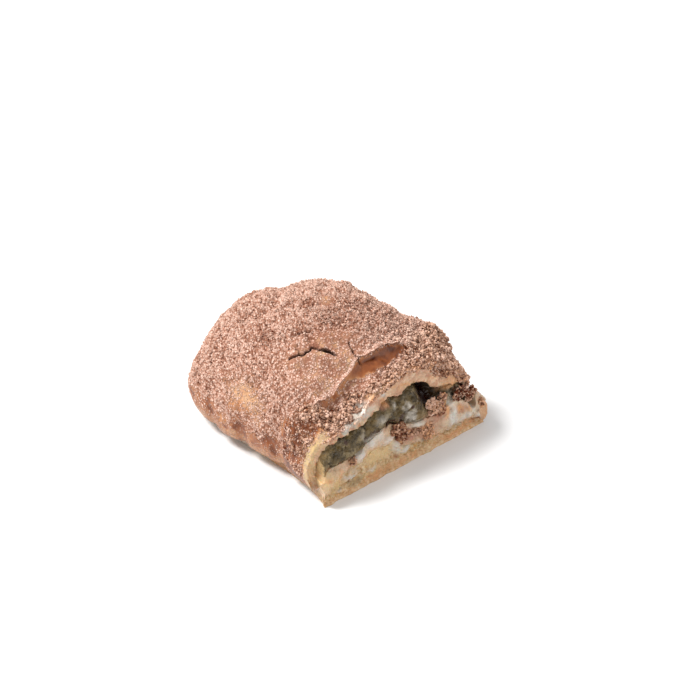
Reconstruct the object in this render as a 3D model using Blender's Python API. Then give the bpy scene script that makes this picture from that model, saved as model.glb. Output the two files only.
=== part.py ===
"""Pistachio baklava: one square slice of cold, milk-soaked baklava under a cocoa-dusted crust.

The slice stands on its flat underside, centred on the origin, with the cut face towards -Y.
Four layers run through it from the cut to the back: the soaked pastry base, the milk cream,
the ground pistachio filling and the puffed top crust, which folds down over the left and
back sides and stops short above the right side. Coarse cocoa crumbs are joined to the layer
they lie on.

Every layer is a cube that is sliced into a lattice and then carried into place by a
function of (u, v, w): u runs across the slice, v from the cut to the back and w from the
underside of the layer to its top.
"""
import bmesh
import bpy
import numpy as np

MM = 0.001
SLICE_NAME = "pistachio_baklava"

# Plan of the slice, measured from the middle of its underside.
CREST_X = 0.9 * MM
CREST_Y = 1.4 * MM
LEFT_X = -28.4 * MM
RIGHT_X = 23.5 * MM
BACK_Y = 26.9 * MM
CUT_Y = -26.2 * MM            # foot of the cut face
CUT_LEAN = 0.15               # the cut leans back this much for each unit of height
CORNER_PULL = 0.08            # how far the back corners are drawn in
SIDE_WAVE = 1.1 * MM          # slow wave of the left side
SIDE_WAVE_LENGTH = 50 * MM
SIDE_WAVE_IN_Y = -14 * MM     # where the wave leans furthest in
TUCK = 1.3 * MM               # the left and back sides draw in towards the hem
TUCK_TOP = 9.0 * MM
TUCK_POWER = 1.5
SIDE_REACH = 6                # power of the half width that keeps an effect to the side

# Puffed top of the crust.
CREST_HEIGHT = 32.6 * MM
CUT_HEIGHT = 23.7 * MM        # top of the crust at the middle of the cut
HEM_HEIGHT = 3.6 * MM         # where the folded-down crust ends
LEFT_ROUNDNESS = (3.55, 0.36)
RIGHT_ROUNDNESS = (2.41, 0.68)
BACK_ROUNDNESS = (3.0, 0.51)
FRONT_FALL = 1.9
HEM_LEFT = -1.0               # ends of the crust, as shares of the half width
HEM_RIGHT = 0.94
HEM_RIGHT_AT_CUT = 0.88
HEM_TRIM_REACH = 0.06         # the trimmed end reaches this share of v back from the cut
CORNER_SETBACK = 3.2 * MM     # the left corner of the crust stands back from the cut
CORNER_SETBACK_POWER = 12     # and only close to the corner

# Swellings (positive) and dents (negative): x, y, spread, height.
SWELLING_GAIN = 3             # they reach full height where the top is a third full
SWELLINGS = [
    (-16 * MM, -24 * MM, 9.0 * MM, -5.4 * MM),
    (-14 * MM, 17 * MM, 9.0 * MM, 3.0 * MM),
    (0 * MM, 21 * MM, 9.0 * MM, -1.3 * MM),
    (21 * MM, -13 * MM, 5.5 * MM, 7.2 * MM),
    (17 * MM, 3 * MM, 8.0 * MM, -1.4 * MM),
    (-22 * MM, 12 * MM, 8.0 * MM, -2.2 * MM),
    (12 * MM, 14 * MM, 8.0 * MM, -1.6 * MM),
    (21 * MM, -24.5 * MM, 2.6 * MM, 2.4 * MM),
]
RUMPLE = 0.35 * MM
RUMPLE_LENGTHS = (9.0 * MM, 7.5 * MM)
RUMPLE_SHIFT = 1.3            # radians, and the second wave's share of height and of slant
RUMPLE_SECOND = (0.6, 1.7)

# Pinched folds of the left side: y and depth; each is a narrow upright groove.
SIDE_FOLDS = [(-11.0 * MM, 1.1 * MM), (1.5 * MM, 1.2 * MM), (11.5 * MM, 0.8 * MM)]
FOLD_SPREAD = 1.6 * MM
FOLD_TOP = 22 * MM            # the folds die out at this height

# Torn edge of the thin top leaf, as (x, y) from left to right.
TORN_EDGE = [(-24 * MM, -15.5 * MM), (-17 * MM, -18.8 * MM), (-12 * MM, -18.0 * MM),
             (-6.6 * MM, -16.4 * MM), (-1 * MM, -17.0 * MM), (4.6 * MM, -18.2 * MM),
             (8 * MM, -21 * MM)]
TORN_STEP = 1.4 * MM
TORN_REACH = 6.5 * MM         # the surface is level with the leaf again this far in front
TORN_ENDS = (-21 * MM, 5.5 * MM)
TORN_END_SOFTNESS = 1 * MM
TORN_SOFTNESS = 0.25 * MM
RELIEF_RISE = 8 * MM          # relief grows to full depth over this height above the hem

# Thickness of the crust.
CRUST_SIDE = 0.935            # inner width over outer width
CRUST_TOP = 3.0 * MM
CRUST_CUT_LEFT = 1.6 * MM
CRUST_CUT_GAIN = (-13 * MM, 2.0 * MM, 2.0 * MM)   # place, softness and gain to its right
CUT_DEPTH = 7.0 * MM          # what is shaped at the cut fades out over this depth
THICK_SPOTS = [(-2.0 * MM, 2.6 * MM, 1.7 * MM), (10.5 * MM, 4.0 * MM, 2.4 * MM)]
CRUST_TIP_LOSS = (17 * MM, 1.2 * MM, 1.5 * MM)     # place, softness and loss at the right tip
WALL_RISE = 6 * MM            # the crust has its full thickness this far above its hem
CUT_LEAF_RELIEF = 0.25 * MM
CUT_LEAF_TURNS = 3            # half waves of relief through the thickness
CUT_LEAF_DRIFT = 40           # and how far they drift across the slice, in radians
CUT_RELIEF_REACH = 0.011      # relief of the cut face dies out over this share of v

# Layers below the crust.
CEILING_REACH = (-0.97, 0.92) # outside these shares they follow the crust no further down
CEILING_BACK = 0.965
GAP = 0.35 * MM
SIDE_GAP_GAIN = 3             # how much wider the gap is at the steep sides
LOW_GAP_GAIN = 1              # and between the cream and the flatter base
FILLING_ENDS = (-0.885, 0.85)
FILLING_BACK = 0.875
FILLING_FOOT = 9.4 * MM
FILLING_ARCH = (-6.5 * MM, 5.5 * MM, 3.4 * MM)
FILLING_STEP = (9.5 * MM, 2.5 * MM, 1.4 * MM)   # the foot rises here, this softly, this much
FILLING_SHARE = 0.35          # where the crust comes down, the filling keeps this share
CAVITY = (7.8 * MM, 3.6 * MM, 6.2 * MM)
CAVITY_DEPTH = 10.0 * MM
CAVITY_FLOOR = 12.2 * MM
FILLING_LUMP = 0.55 * MM
FILLING_LUMP_LENGTHS = (6.9 * MM, 5.6 * MM, 3.8 * MM)
FILLING_SMALL_LUMP = 0.5      # height of the small lumps as a share of the large ones
CREAM_ENDS = (-0.885, 1.03)
CREAM_BACK = 0.875
CREAM_THINNEST = 1.0 * MM
CREAM_END_RISE = (0.945, 0.012, 4.6 * MM)   # place and softness as shares, and height
CREAM_RISE_BACK = (0.3, 0.06)               # it dies out at this share of the depth
CREAM_BULGE = 0.5 * MM
CREAM_END_POWER = 12          # keeps the bulge of the side to the right end
BASE_LEFT = -0.875            # the base is tucked in under the left side of the crust
BASE_LEFT_AT_CUT = -0.955
BASE_LEFT_REACH = 0.09        # share of v over which it draws in behind the cut
BASE_RIGHT = 1.075
BASE_BACK = 0.94
BASE_TOP_LEFT = 7.0 * MM
BASE_TOP_RIGHT = 3.9 * MM
BASE_FALL = (1 * MM, 3 * MM)  # where the base gets lower, and how softly
BASE_CREST = (-8 * MM, 3.5 * MM, 1.6 * MM)
BASE_HEM_TOP = 2.8 * MM       # the base stays below the hem of the crust
BASE_HEM_LEFT = 0.79          # and does so from these shares of the half width and depth
BASE_HEM_BACK = 0.78
BASE_HEM_SOFTNESS = 0.03
BASE_LEAF = 1.1 * MM          # height of one soaked leaf at the sides
BASE_LEAF_RELIEF = 0.22 * MM
BASE_ROUNDING = 0.008         # narrowing of the base at its edges, as a share of its width
BASE_FOOT_ROUNDING = 1.5      # how much more it narrows at the foot
FLANK_END_X = 25.4 * MM       # right flank: the layers step back as they rise
FLANK_FOOT = 1.5 * MM
FLANK_RISE = 5.4              # rise in mm for the root of the run in mm

# Rows of the lattices.
CRUST_COLUMNS = 36
CRUST_CUT_ROWS = 9
CRUST_ROWS = 25
CRUST_LEVELS = 3
FILLING_CELLS = (30, (4, 12), 4)      # columns, rows close and wide, levels
CREAM_CELLS = (22, (3, 11), 3)
BASE_CELLS = (24, (2, 10), 6)
CUT_SHARE = 0.2               # share of v that holds the close rows at the cut

# Crumbs of cocoa: radius range and counts.
SEED = 17
CRUMB_RADIUS = (0.45 * MM, 0.95 * MM)
CRUMB_STRETCH = (1.0, 0.85, 0.75)
CRUMB_LIFT = 0.25             # height of its middle over the crust, as a share of its radius
CRUMB_OUT = 0.2 * MM          # and in front of the cream
CRUMBS_ON_CRUST = 56
CRUMB_SPAN = ((0.13, 0.9), (0.04, 0.9))   # ranges of u and v where they lie on the crust
CRUMB_CROWDING = 1.5          # a power that crowds them towards the cut
CUT_CRUMBS = [(9.6, 7.2, 1.25), (-1.5, 9.3, 0.8), (5.2, 6.6, 0.9), (18.2, 7.0, 1.6),
              (22.3, 5.6, 0.8), (14.2, 6.0, 0.9)]      # x, z and radius in mm, on the cream

COLOURS = {
    "top_crust": ((0.36, 0.20, 0.12, 1), 0.85),
    "pistachio_filling": ((0.13, 0.13, 0.06, 1), 0.6),
    "milk_cream": ((0.80, 0.74, 0.62, 1), 0.35),
    "pastry_base": ((0.66, 0.46, 0.20, 1), 0.5),
}


def bell(distance, spread):
    """A smooth hill of height 1 at no distance."""
    return np.exp(-(distance / spread) ** 2)


def step_up(distance, softness):
    """Rises smoothly from 0 to 1 as the distance passes through nothing."""
    return 0.5 + 0.5 * np.tanh(0.5 * distance / softness)


def rounded(share, roundness):
    """Section of a puffed shape: 1 in the middle, 0 at the side."""
    power, flatness = roundness
    return np.clip(1 - np.abs(share) ** power, 0, 1) ** flatness


def plan_x(s, t):
    pull = 1 - CORNER_PULL * s ** 4 * np.clip(t, 0, 1) ** 4
    reach = np.where(s < 0, CREST_X - LEFT_X, RIGHT_X - CREST_X)
    return CREST_X + s * reach * pull


def plan_y(s, t, z):
    """Depth of a point; in front of the crest it follows the leaning cut."""
    pull = 1 - CORNER_PULL * s ** 4 * np.clip(t, 0, 1) ** 4
    to_cut = CREST_Y - (CUT_Y + CUT_LEAN * z)
    reach = np.where(t < 0, to_cut, (BACK_Y - CREST_Y) * pull)
    return CREST_Y + t * reach - tuck(t, z)


def side_wave(s, y):
    """Moves the left side of every layer in and out in one slow wave."""
    wave = SIDE_WAVE * np.cos(2 * np.pi * (y - SIDE_WAVE_IN_Y) / SIDE_WAVE_LENGTH)
    return wave * np.clip(-s, 0, 1) ** SIDE_REACH


def tuck(share, z):
    """How far a side draws in at a height; share is 1 at the side and 0 or less away from it."""
    low = np.clip((TUCK_TOP - z) / (TUCK_TOP - HEM_HEIGHT), 0, 1) ** TUCK_POWER
    return TUCK * low * np.clip(share, 0, 1) ** SIDE_REACH


def side_folds(s, y, z):
    """Presses narrow upright folds into the outside of the left side, deepest at the hem."""
    low = np.clip(1 - z / FOLD_TOP, 0, 1)
    folds = sum(depth * bell(y - place, FOLD_SPREAD) for place, depth in SIDE_FOLDS)
    return folds * low * np.clip(-s, 0, 1) ** SIDE_REACH


def dome(s, t):
    """Height of the puffed top without its fine relief."""
    front = 1 - (CREST_HEIGHT - CUT_HEIGHT) / (CREST_HEIGHT - HEM_HEIGHT) * np.abs(t) ** FRONT_FALL
    along = np.where(t < 0, front, rounded(t, BACK_ROUNDNESS))
    across = np.where(s < 0, rounded(s, LEFT_ROUNDNESS), rounded(s, RIGHT_ROUNDNESS))
    fullness = across * along
    x = plan_x(s, t)
    y = plan_y(s, t, CUT_HEIGHT)
    lumps = sum(height * bell(np.hypot(x - cx, y - cy), spread)
                for cx, cy, spread, height in SWELLINGS)
    return (HEM_HEIGHT + (CREST_HEIGHT - HEM_HEIGHT) * fullness
            + lumps * np.clip(SWELLING_GAIN * fullness, 0, 1))


def relief(s, t):
    """Rumples of the crust and the step where its thin top leaf has broken away."""
    x = plan_x(s, t)
    y = plan_y(s, t, CUT_HEIGHT)
    long_x, long_y = RUMPLE_LENGTHS
    height, slant = RUMPLE_SECOND
    crossed = (np.sin(2 * np.pi * x / long_x + RUMPLE_SHIFT)
               * np.cos(2 * np.pi * y / long_y))
    rumple = RUMPLE * (crossed + height * np.sin(2 * np.pi * (x + slant * y) / long_x))
    edge = np.interp(x, *np.transpose(TORN_EDGE))
    in_front = edge - y
    ends = (step_up(x - TORN_ENDS[0], TORN_END_SOFTNESS)
            * step_up(TORN_ENDS[1] - x, TORN_END_SOFTNESS))
    fade = np.clip(1 - (in_front / TORN_REACH) ** 2, 0, 1)
    return rumple - TORN_STEP * step_up(in_front, TORN_SOFTNESS) * fade * ends


def cut_share(t):
    """1 at the cut, falling to 0 a little way inside."""
    return bell((t + 1) * (CREST_Y - CUT_Y), CUT_DEPTH)


def crust_thickness(s, t):
    x = plan_x(s, t)
    gain_x, gain_softness, gain = CRUST_CUT_GAIN
    loss_x, loss_softness, loss = CRUST_TIP_LOSS
    at_cut = (CRUST_CUT_LEFT + gain * step_up(x - gain_x, gain_softness)
              + sum(more * bell(x - place, spread) for place, spread, more in THICK_SPOTS)
              - loss * step_up(x - loss_x, loss_softness))
    share = cut_share(t)
    return share * at_cut + (1 - share) * CRUST_TOP


def ceiling(s, t):
    """Underside of the crust, at shares of its own smaller width and depth."""
    height = dome(s, t)
    wall = np.clip((height - HEM_HEIGHT) / WALL_RISE, 0, 1)
    return height - crust_thickness(s, t) * wall


def clearance(s, t, gain=SIDE_GAP_GAIN):
    """Gap between two layers, wider towards the steep sides."""
    edge = np.clip(np.maximum(np.abs(s), t), 0, 1)
    return GAP * (1 + gain * edge ** SIDE_REACH)


def filling_top(s, t):
    x = plan_x(s, t)
    inner_s = np.clip(s / CRUST_SIDE, *CEILING_REACH)
    inner_t = np.where(t > 0, np.clip(t / CRUST_SIDE, 0, CEILING_BACK), t)
    place, spread, drop = CAVITY
    hollow = drop * bell(x - place, spread) * bell((t + 1) * (CREST_Y - CUT_Y), CAVITY_DEPTH)
    full = ceiling(inner_s, inner_t) - clearance(s, t) - GAP * cut_share(t)
    return full - np.minimum(hollow, np.clip(full - CAVITY_FLOOR, 0, None))


def filling_foot(s, t):
    x = plan_x(s, t)
    place, spread, rise = FILLING_ARCH
    step_x, softness, step_rise = FILLING_STEP
    level = (FILLING_FOOT + rise * bell(x - place, spread) * cut_share(t)
             + step_rise * step_up(x - step_x, softness) * cut_share(t))
    top = filling_top(s, t)
    return np.minimum(level, top - FILLING_SHARE * (top - HEM_HEIGHT))


def flank(s, t):
    """The right flank, a curve that climbs steeply and then leans in."""
    run = np.clip(FLANK_END_X - plan_x(s, t), 0, None) / MM
    return FLANK_FOOT + FLANK_RISE * MM * np.sqrt(run)


def cream_top(s, t):
    """The cream lies under the filling, and stands higher beyond its right end."""
    below_filling = filling_foot(s, t) - clearance(s, t) - GAP * cut_share(t)
    place, softness, rise = CREAM_END_RISE
    end_t, fade = CREAM_RISE_BACK
    beyond = rise * step_up(s - place, softness) * step_up(end_t - t, fade)
    return np.minimum(below_filling + beyond, flank(s, t))


def base_top(s, t):
    x = plan_x(s, t)
    place, spread, rise = BASE_CREST
    fall_x, softness = BASE_FALL
    level = (BASE_TOP_LEFT + (BASE_TOP_RIGHT - BASE_TOP_LEFT) * step_up(x - fall_x, softness)
             + rise * bell(x - place, spread) * cut_share(t))
    hem = np.maximum(step_up(-s - BASE_HEM_LEFT, BASE_HEM_SOFTNESS),
                     step_up(t - BASE_HEM_BACK, BASE_HEM_SOFTNESS))
    level = level + (np.minimum(BASE_HEM_TOP, level) - level) * hem
    under_s, under_t = np.clip(s, *CREAM_ENDS), np.minimum(t, CREAM_BACK)
    room = (cream_top(under_s, under_t) - CREAM_THINNEST
            - clearance(under_s, under_t, LOW_GAP_GAIN))
    return np.minimum(level, room)


def cream_foot(s, t):
    return base_top(s, t) + clearance(s, t, LOW_GAP_GAIN)


def across_share(u, left, right):
    """Even steps of angle, which bring the columns closer at the steep sides."""
    first = np.arcsin(np.clip(left, -1, 1))
    last = np.arcsin(np.clip(right, -1, 1))
    stretch = np.where(u > 0.5, np.maximum(right, 1), 1)
    return np.sin(first + u * (last - first)) * stretch


def depth_share(v, back):
    """-1 at the cut, 0 at the crest and `back` at the back."""
    behind = np.sin(np.pi / 2 * np.clip(2 * v - 1, 0, 1)) * back
    return np.where(v < 0.5, 2 * v - 1, behind)


def lattice(columns, rows, levels):
    """A unit cube sliced at the given shares of its width, depth and height."""
    bm = bmesh.new()
    bmesh.ops.create_cube(bm, size=1)
    bmesh.ops.translate(bm, verts=bm.verts, vec=(0.5, 0.5, 0.5))
    for axis, cuts in enumerate((columns, rows, levels)):
        normal = [0.0, 0.0, 0.0]
        normal[axis] = 1.0
        for cut in cuts[1:-1]:
            geometry = bm.verts[:] + bm.edges[:] + bm.faces[:]
            point = [float(cut) * n for n in normal]
            bmesh.ops.bisect_plane(bm, geom=geometry, dist=1e-7, plane_co=point, plane_no=normal)
    return bm


def layer(name, cells, carry):
    """Builds one layer: a sliced cube whose points are carried to their places."""
    columns, rows, levels = cells
    bm = lattice(np.linspace(0, 1, columns + 1), cut_rows(*rows), np.linspace(0, 1, levels + 1))
    mesh = bpy.data.meshes.new(name)
    bm.to_mesh(mesh)
    bm.free()
    shares = np.empty(len(mesh.vertices) * 3, np.float32)
    mesh.vertices.foreach_get("co", shares)
    u, v, w = np.clip(shares.reshape(-1, 3).astype(float), 0, 1).T
    places = np.stack(carry(u, v, w), axis=-1)
    mesh.vertices.foreach_set("co", places.astype(np.float32).ravel())
    mesh.update()
    obj = bpy.data.objects.new(name, mesh)
    colour, roughness = COLOURS[name]
    mesh.materials.append(plain_material(name, colour, roughness))
    parts_collection().objects.link(obj)
    return obj


def parts_collection():
    collection = bpy.data.collections.get(SLICE_NAME)
    if collection is None:
        collection = bpy.data.collections.new(SLICE_NAME)
        bpy.context.scene.collection.children.link(collection)
    return collection


def plain_material(name, colour, roughness):
    material = bpy.data.materials.new(name)
    material.use_nodes = True
    shader = material.node_tree.nodes["Principled BSDF"]
    shader.inputs["Base Color"].default_value = colour
    shader.inputs["Roughness"].default_value = roughness
    return material


def cut_rows(close, wide):
    """Rows that stand close at the cut and wider apart behind it."""
    return np.concatenate([np.linspace(0, CUT_SHARE, close + 1),
                           np.linspace(CUT_SHARE, 1, wide + 1)[1:]])


def hem_ends(v):
    """Left and right ends of the crust; the right one is trimmed higher at the cut."""
    trim = np.exp(-v / HEM_TRIM_REACH)
    return HEM_LEFT, HEM_RIGHT + (HEM_RIGHT_AT_CUT - HEM_RIGHT) * trim


def corner_setback(s, t):
    """How far the crust stands back at its left corner, fading towards the crest."""
    near = np.clip(-s, 0, 1) ** CORNER_SETBACK_POWER
    return CORNER_SETBACK * near * np.clip(-t, 0, 1)


def carry_crust(u, v, w):
    s = across_share(u, *hem_ends(v))
    t = depth_share(v, 1)
    smooth_z = dome(s, t)
    outer_z = smooth_z + relief(s, t) * np.clip((smooth_z - HEM_HEIGHT) / RELIEF_RISE, 0, 1)
    outer_x = plan_x(s, t)
    outer_y = plan_y(s, t, outer_z) + corner_setback(s, t)
    inner_s = s * CRUST_SIDE
    inner_t = np.where(t > 0, t * CRUST_SIDE, t)
    inner_z = ceiling(s, t)
    inner_x = plan_x(inner_s, inner_t)
    inner_y = plan_y(inner_s, inner_t, inner_z) + corner_setback(s, t)
    outer_x = (outer_x + side_wave(s, outer_y) + tuck(-s, outer_z)
               + side_folds(s, outer_y, outer_z))
    inner_x = inner_x + side_wave(inner_s, inner_y) + tuck(-inner_s, inner_z)
    blend = [low + (high - low) * w for low, high in
             ((inner_x, outer_x), (inner_y, outer_y), (inner_z, outer_z))]
    leaves = (CUT_LEAF_RELIEF * np.sin(CUT_LEAF_TURNS * np.pi * w + CUT_LEAF_DRIFT * u)
              * np.sin(np.pi * w) ** 2)
    blend[1] = blend[1] + leaves * np.exp(-v / CUT_RELIEF_REACH)
    return blend


def carry_filling(u, v, w):
    s = across_share(u, *FILLING_ENDS)
    t = depth_share(v, FILLING_BACK)
    low = filling_foot(s, t)
    z = low + (filling_top(s, t) - low) * w
    x = plan_x(s, t)
    long_x, long_z, short_x = FILLING_LUMP_LENGTHS
    lumps = (np.sin(2 * np.pi * x / long_x) * np.cos(2 * np.pi * z / long_z)
             + FILLING_SMALL_LUMP * np.sin(2 * np.pi * (x + z) / short_x))
    y = plan_y(s, t, z) + FILLING_LUMP * lumps * np.exp(-v / CUT_RELIEF_REACH)
    return x + side_wave(s, y) + tuck(-s, z), y, z


def carry_cream(u, v, w):
    s = across_share(u, *CREAM_ENDS)
    t = depth_share(v, CREAM_BACK)
    low = cream_foot(s, t)
    z = low + (cream_top(s, t) - low) * w
    bulge = CREAM_BULGE * np.sin(np.pi * w)
    x = plan_x(s, t) + bulge * np.clip(s, 0, 1) ** CREAM_END_POWER
    y = plan_y(s, t, z) - bulge * np.exp(-v / CUT_RELIEF_REACH)
    return x + side_wave(s, y) + tuck(-s, z), y, z


def carry_base(u, v, w):
    left = BASE_LEFT + (BASE_LEFT_AT_CUT - BASE_LEFT) * np.exp(-v / BASE_LEFT_REACH)
    s = left + (BASE_RIGHT - left) * (0.5 - 0.5 * np.cos(np.pi * u))
    t = depth_share(v, BASE_BACK)
    z = base_top(s, t) * w
    rounding = BASE_ROUNDING * (BASE_FOOT_ROUNDING * (1 - w) ** 3 + w ** 2)
    leaf = BASE_LEAF_RELIEF * np.cos(2 * np.pi * z / BASE_LEAF)
    side = np.where(u <= 0, -1.0, np.where(u >= 1, 1.0, 0.0))
    x = plan_x(s * (1 - rounding), t) + leaf * side
    y = plan_y(s, t * np.where(t > 0, 1 - rounding, 1), z) - leaf * np.exp(-v / CUT_RELIEF_REACH)
    return x + side_wave(s, y) + tuck(-s, z), y, z


def crumb(name, place, radius, turn, collection):
    """One crumb: a low ball, squashed and turned, to be joined to a layer."""
    bm = bmesh.new()
    bmesh.ops.create_icosphere(bm, subdivisions=1, radius=1)
    mesh = bpy.data.meshes.new(name)
    bm.to_mesh(mesh)
    bm.free()
    obj = bpy.data.objects.new(name, mesh)
    obj.location = place
    obj.rotation_euler = turn
    obj.scale = [radius * share for share in CRUMB_STRETCH]
    collection.objects.link(obj)
    return obj


def join_crumbs(layer_object, crumbs):
    """Joins a collection of crumbs to a layer with one union, and removes the crumbs."""
    union = layer_object.modifiers.new("crumbs", "BOOLEAN")
    union.operation = "UNION"
    union.operand_type = "COLLECTION"
    union.collection = crumbs
    union.solver = "MANIFOLD"
    bpy.context.view_layer.update()
    joined = bpy.data.meshes.new_from_object(
        layer_object.evaluated_get(bpy.context.evaluated_depsgraph_get()))
    layer_object.modifiers.remove(union)
    layer_object.data = joined
    for obj in list(crumbs.objects):
        bpy.data.objects.remove(obj, do_unlink=True)
    bpy.data.collections.remove(crumbs)


def crumb_collection(name):
    collection = bpy.data.collections.new(name)
    bpy.context.scene.collection.children.link(collection)
    return collection


def crust_crumbs(draw):
    """Crumbs of cocoa spread over the crust, thickest along the front band."""
    collection = crumb_collection("crust_crumbs")
    for index in range(CRUMBS_ON_CRUST):
        u, v = (np.array([draw.uniform(*span)]) for span in CRUMB_SPAN)
        v = v ** CRUMB_CROWDING
        x, y, z = (float(part[0]) for part in carry_crust(u, v, np.array([1.0])))
        radius = draw.uniform(*CRUMB_RADIUS)
        turn = draw.uniform(0, 2 * np.pi, 3)
        crumb(f"crumb_{index}", (x, y, z + CRUMB_LIFT * radius), radius, turn, collection)
    return collection


def cream_crumbs(draw):
    """Crumbs of cocoa stuck to the cream in the cut."""
    collection = crumb_collection("cream_crumbs")
    for index, (x, z, radius) in enumerate(CUT_CRUMBS):
        y = CUT_Y + CUT_LEAN * z * MM - CRUMB_OUT
        turn = draw.uniform(0, 2 * np.pi, 3)
        crumb(f"cream_crumb_{index}", (x * MM, y, z * MM), radius * MM, turn, collection)
    return collection


def build_slice():
    draw = np.random.default_rng(SEED)
    crust = layer("top_crust", (CRUST_COLUMNS, (CRUST_CUT_ROWS, CRUST_ROWS), CRUST_LEVELS),
                  carry_crust)
    join_crumbs(crust, crust_crumbs(draw))
    layer("pistachio_filling", FILLING_CELLS, carry_filling)
    cream = layer("milk_cream", CREAM_CELLS, carry_cream)
    join_crumbs(cream, cream_crumbs(draw))
    layer("pastry_base", BASE_CELLS, carry_base)


def clear_scene():
    for obj in list(bpy.data.objects):
        bpy.data.objects.remove(obj, do_unlink=True)


clear_scene()
build_slice()
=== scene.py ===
"""Pistachio baklava slice: the finish laid around its packed layers.

Each layer of the slice is a box lattice that a function of (u, v, w) carries into place: u runs
across the slice, v from the cut to the back and w from the underside of the layer to its top.
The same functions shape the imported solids. Here they carry much finer lattices, which are then
raised along their normals by grain, lumps, drips and leaves, and strewn with cocoa and crumbs.
"""

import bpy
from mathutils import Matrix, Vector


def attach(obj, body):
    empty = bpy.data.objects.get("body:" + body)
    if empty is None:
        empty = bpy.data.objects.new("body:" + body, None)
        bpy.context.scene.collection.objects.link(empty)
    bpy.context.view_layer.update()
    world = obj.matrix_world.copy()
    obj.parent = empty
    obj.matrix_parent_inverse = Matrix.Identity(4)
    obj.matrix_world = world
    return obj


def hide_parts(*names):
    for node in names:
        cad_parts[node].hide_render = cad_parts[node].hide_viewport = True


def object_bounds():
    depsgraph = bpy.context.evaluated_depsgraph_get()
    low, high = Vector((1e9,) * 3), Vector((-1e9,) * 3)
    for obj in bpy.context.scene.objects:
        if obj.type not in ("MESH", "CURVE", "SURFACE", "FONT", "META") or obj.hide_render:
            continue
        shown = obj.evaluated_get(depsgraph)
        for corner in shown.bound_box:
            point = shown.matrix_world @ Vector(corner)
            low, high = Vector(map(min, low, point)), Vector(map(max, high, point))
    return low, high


bl_info = {
    "name": "Pistachio baklava slice",
    "version": (1, 0, 0),
    "blender": (4, 5, 0),
    "location": "3D View > Sidebar > Baklava",
    "description": "Cocoa crust, pistachio filling, milk cream and soaked pastry of one slice",
    "category": "Object",
}

import bmesh
import bpy
import numpy as np
from bpy.props import (FloatProperty, FloatVectorProperty, IntProperty, PointerProperty)
from mathutils import Matrix

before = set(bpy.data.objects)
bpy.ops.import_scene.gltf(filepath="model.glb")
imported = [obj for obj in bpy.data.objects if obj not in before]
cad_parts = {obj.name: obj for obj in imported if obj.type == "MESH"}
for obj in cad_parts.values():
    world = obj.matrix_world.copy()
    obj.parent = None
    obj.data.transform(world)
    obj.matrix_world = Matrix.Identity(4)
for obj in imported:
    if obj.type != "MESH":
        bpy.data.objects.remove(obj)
CAD_BOX = [list(corner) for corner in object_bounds()]

MM = 0.001
BODY = "root"

# ---------------------------------------------------------------- shape of the slice
CREST_X, CREST_Y = 0.9 * MM, 1.4 * MM
LEFT_X, RIGHT_X = -28.4 * MM, 23.5 * MM
BACK_Y, CUT_Y = 26.9 * MM, -26.2 * MM
CUT_LEAN = 0.15               # the cut leans back this much for each unit of height
CORNER_PULL = 0.08            # how far the back corners are drawn in
SIDE_WAVE, SIDE_WAVE_LENGTH, SIDE_WAVE_IN_Y = 1.1 * MM, 50 * MM, -14 * MM
TUCK, TUCK_TOP = 1.3 * MM, 9.0 * MM
SIDE_REACH = 6                # power of the half width that keeps an effect to the side

CREST_HEIGHT, CUT_HEIGHT, HEM_HEIGHT = 32.6 * MM, 23.7 * MM, 3.6 * MM
LEFT_ROUNDNESS, RIGHT_ROUNDNESS, BACK_ROUNDNESS = (3.55, 0.36), (2.41, 0.68), (3.0, 0.51)
FRONT_FALL = 1.9
HEM_LEFT, HEM_RIGHT, HEM_RIGHT_AT_CUT = -1.0, 0.94, 0.88
HEM_TRIM_REACH = 0.06
CORNER_SETBACK, CORNER_SETBACK_POWER = 3.2 * MM, 12
SWELLINGS = [                 # x, y, spread and height; a dent where the height is negative
    (-16 * MM, -24 * MM, 9.0 * MM, -5.4 * MM),
    (-14 * MM, 17 * MM, 9.0 * MM, 3.0 * MM),
    (0 * MM, 21 * MM, 9.0 * MM, -1.3 * MM),
    (21 * MM, -13 * MM, 5.5 * MM, 7.2 * MM),
    (17 * MM, 3 * MM, 8.0 * MM, -1.4 * MM),
    (-22 * MM, 12 * MM, 8.0 * MM, -2.2 * MM),
    (12 * MM, 14 * MM, 8.0 * MM, -1.6 * MM),
    (21 * MM, -24.5 * MM, 2.6 * MM, 2.4 * MM),
]
RUMPLE, RUMPLE_LENGTHS = 0.35 * MM, (9.0 * MM, 7.5 * MM)
SIDE_FOLDS = [(-11.0 * MM, 1.1 * MM), (1.5 * MM, 1.2 * MM), (11.5 * MM, 0.8 * MM)]
FOLD_SPREAD, FOLD_TOP = 1.6 * MM, 22 * MM
TORN_EDGE = [(-24 * MM, -15.6 * MM), (-22.2 * MM, -16.3 * MM), (-17.1 * MM, -17.2 * MM),
             (-13.5 * MM, -17.0 * MM), (-10.1 * MM, -16.3 * MM), (-6.4 * MM, -15.8 * MM),
             (-2.5 * MM, -16.0 * MM), (1.9 * MM, -16.2 * MM), (4.6 * MM, -17.4 * MM),
             (8 * MM, -20 * MM)]
TORN_STEP, TORN_REACH = 1.4 * MM, 6.5 * MM
TORN_ENDS = (-21 * MM, 5.5 * MM)
TORN_SOFTNESS = 0.12 * MM
LEAF_REACH = 1.7 * MM
RELIEF_RISE = 8 * MM

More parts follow.
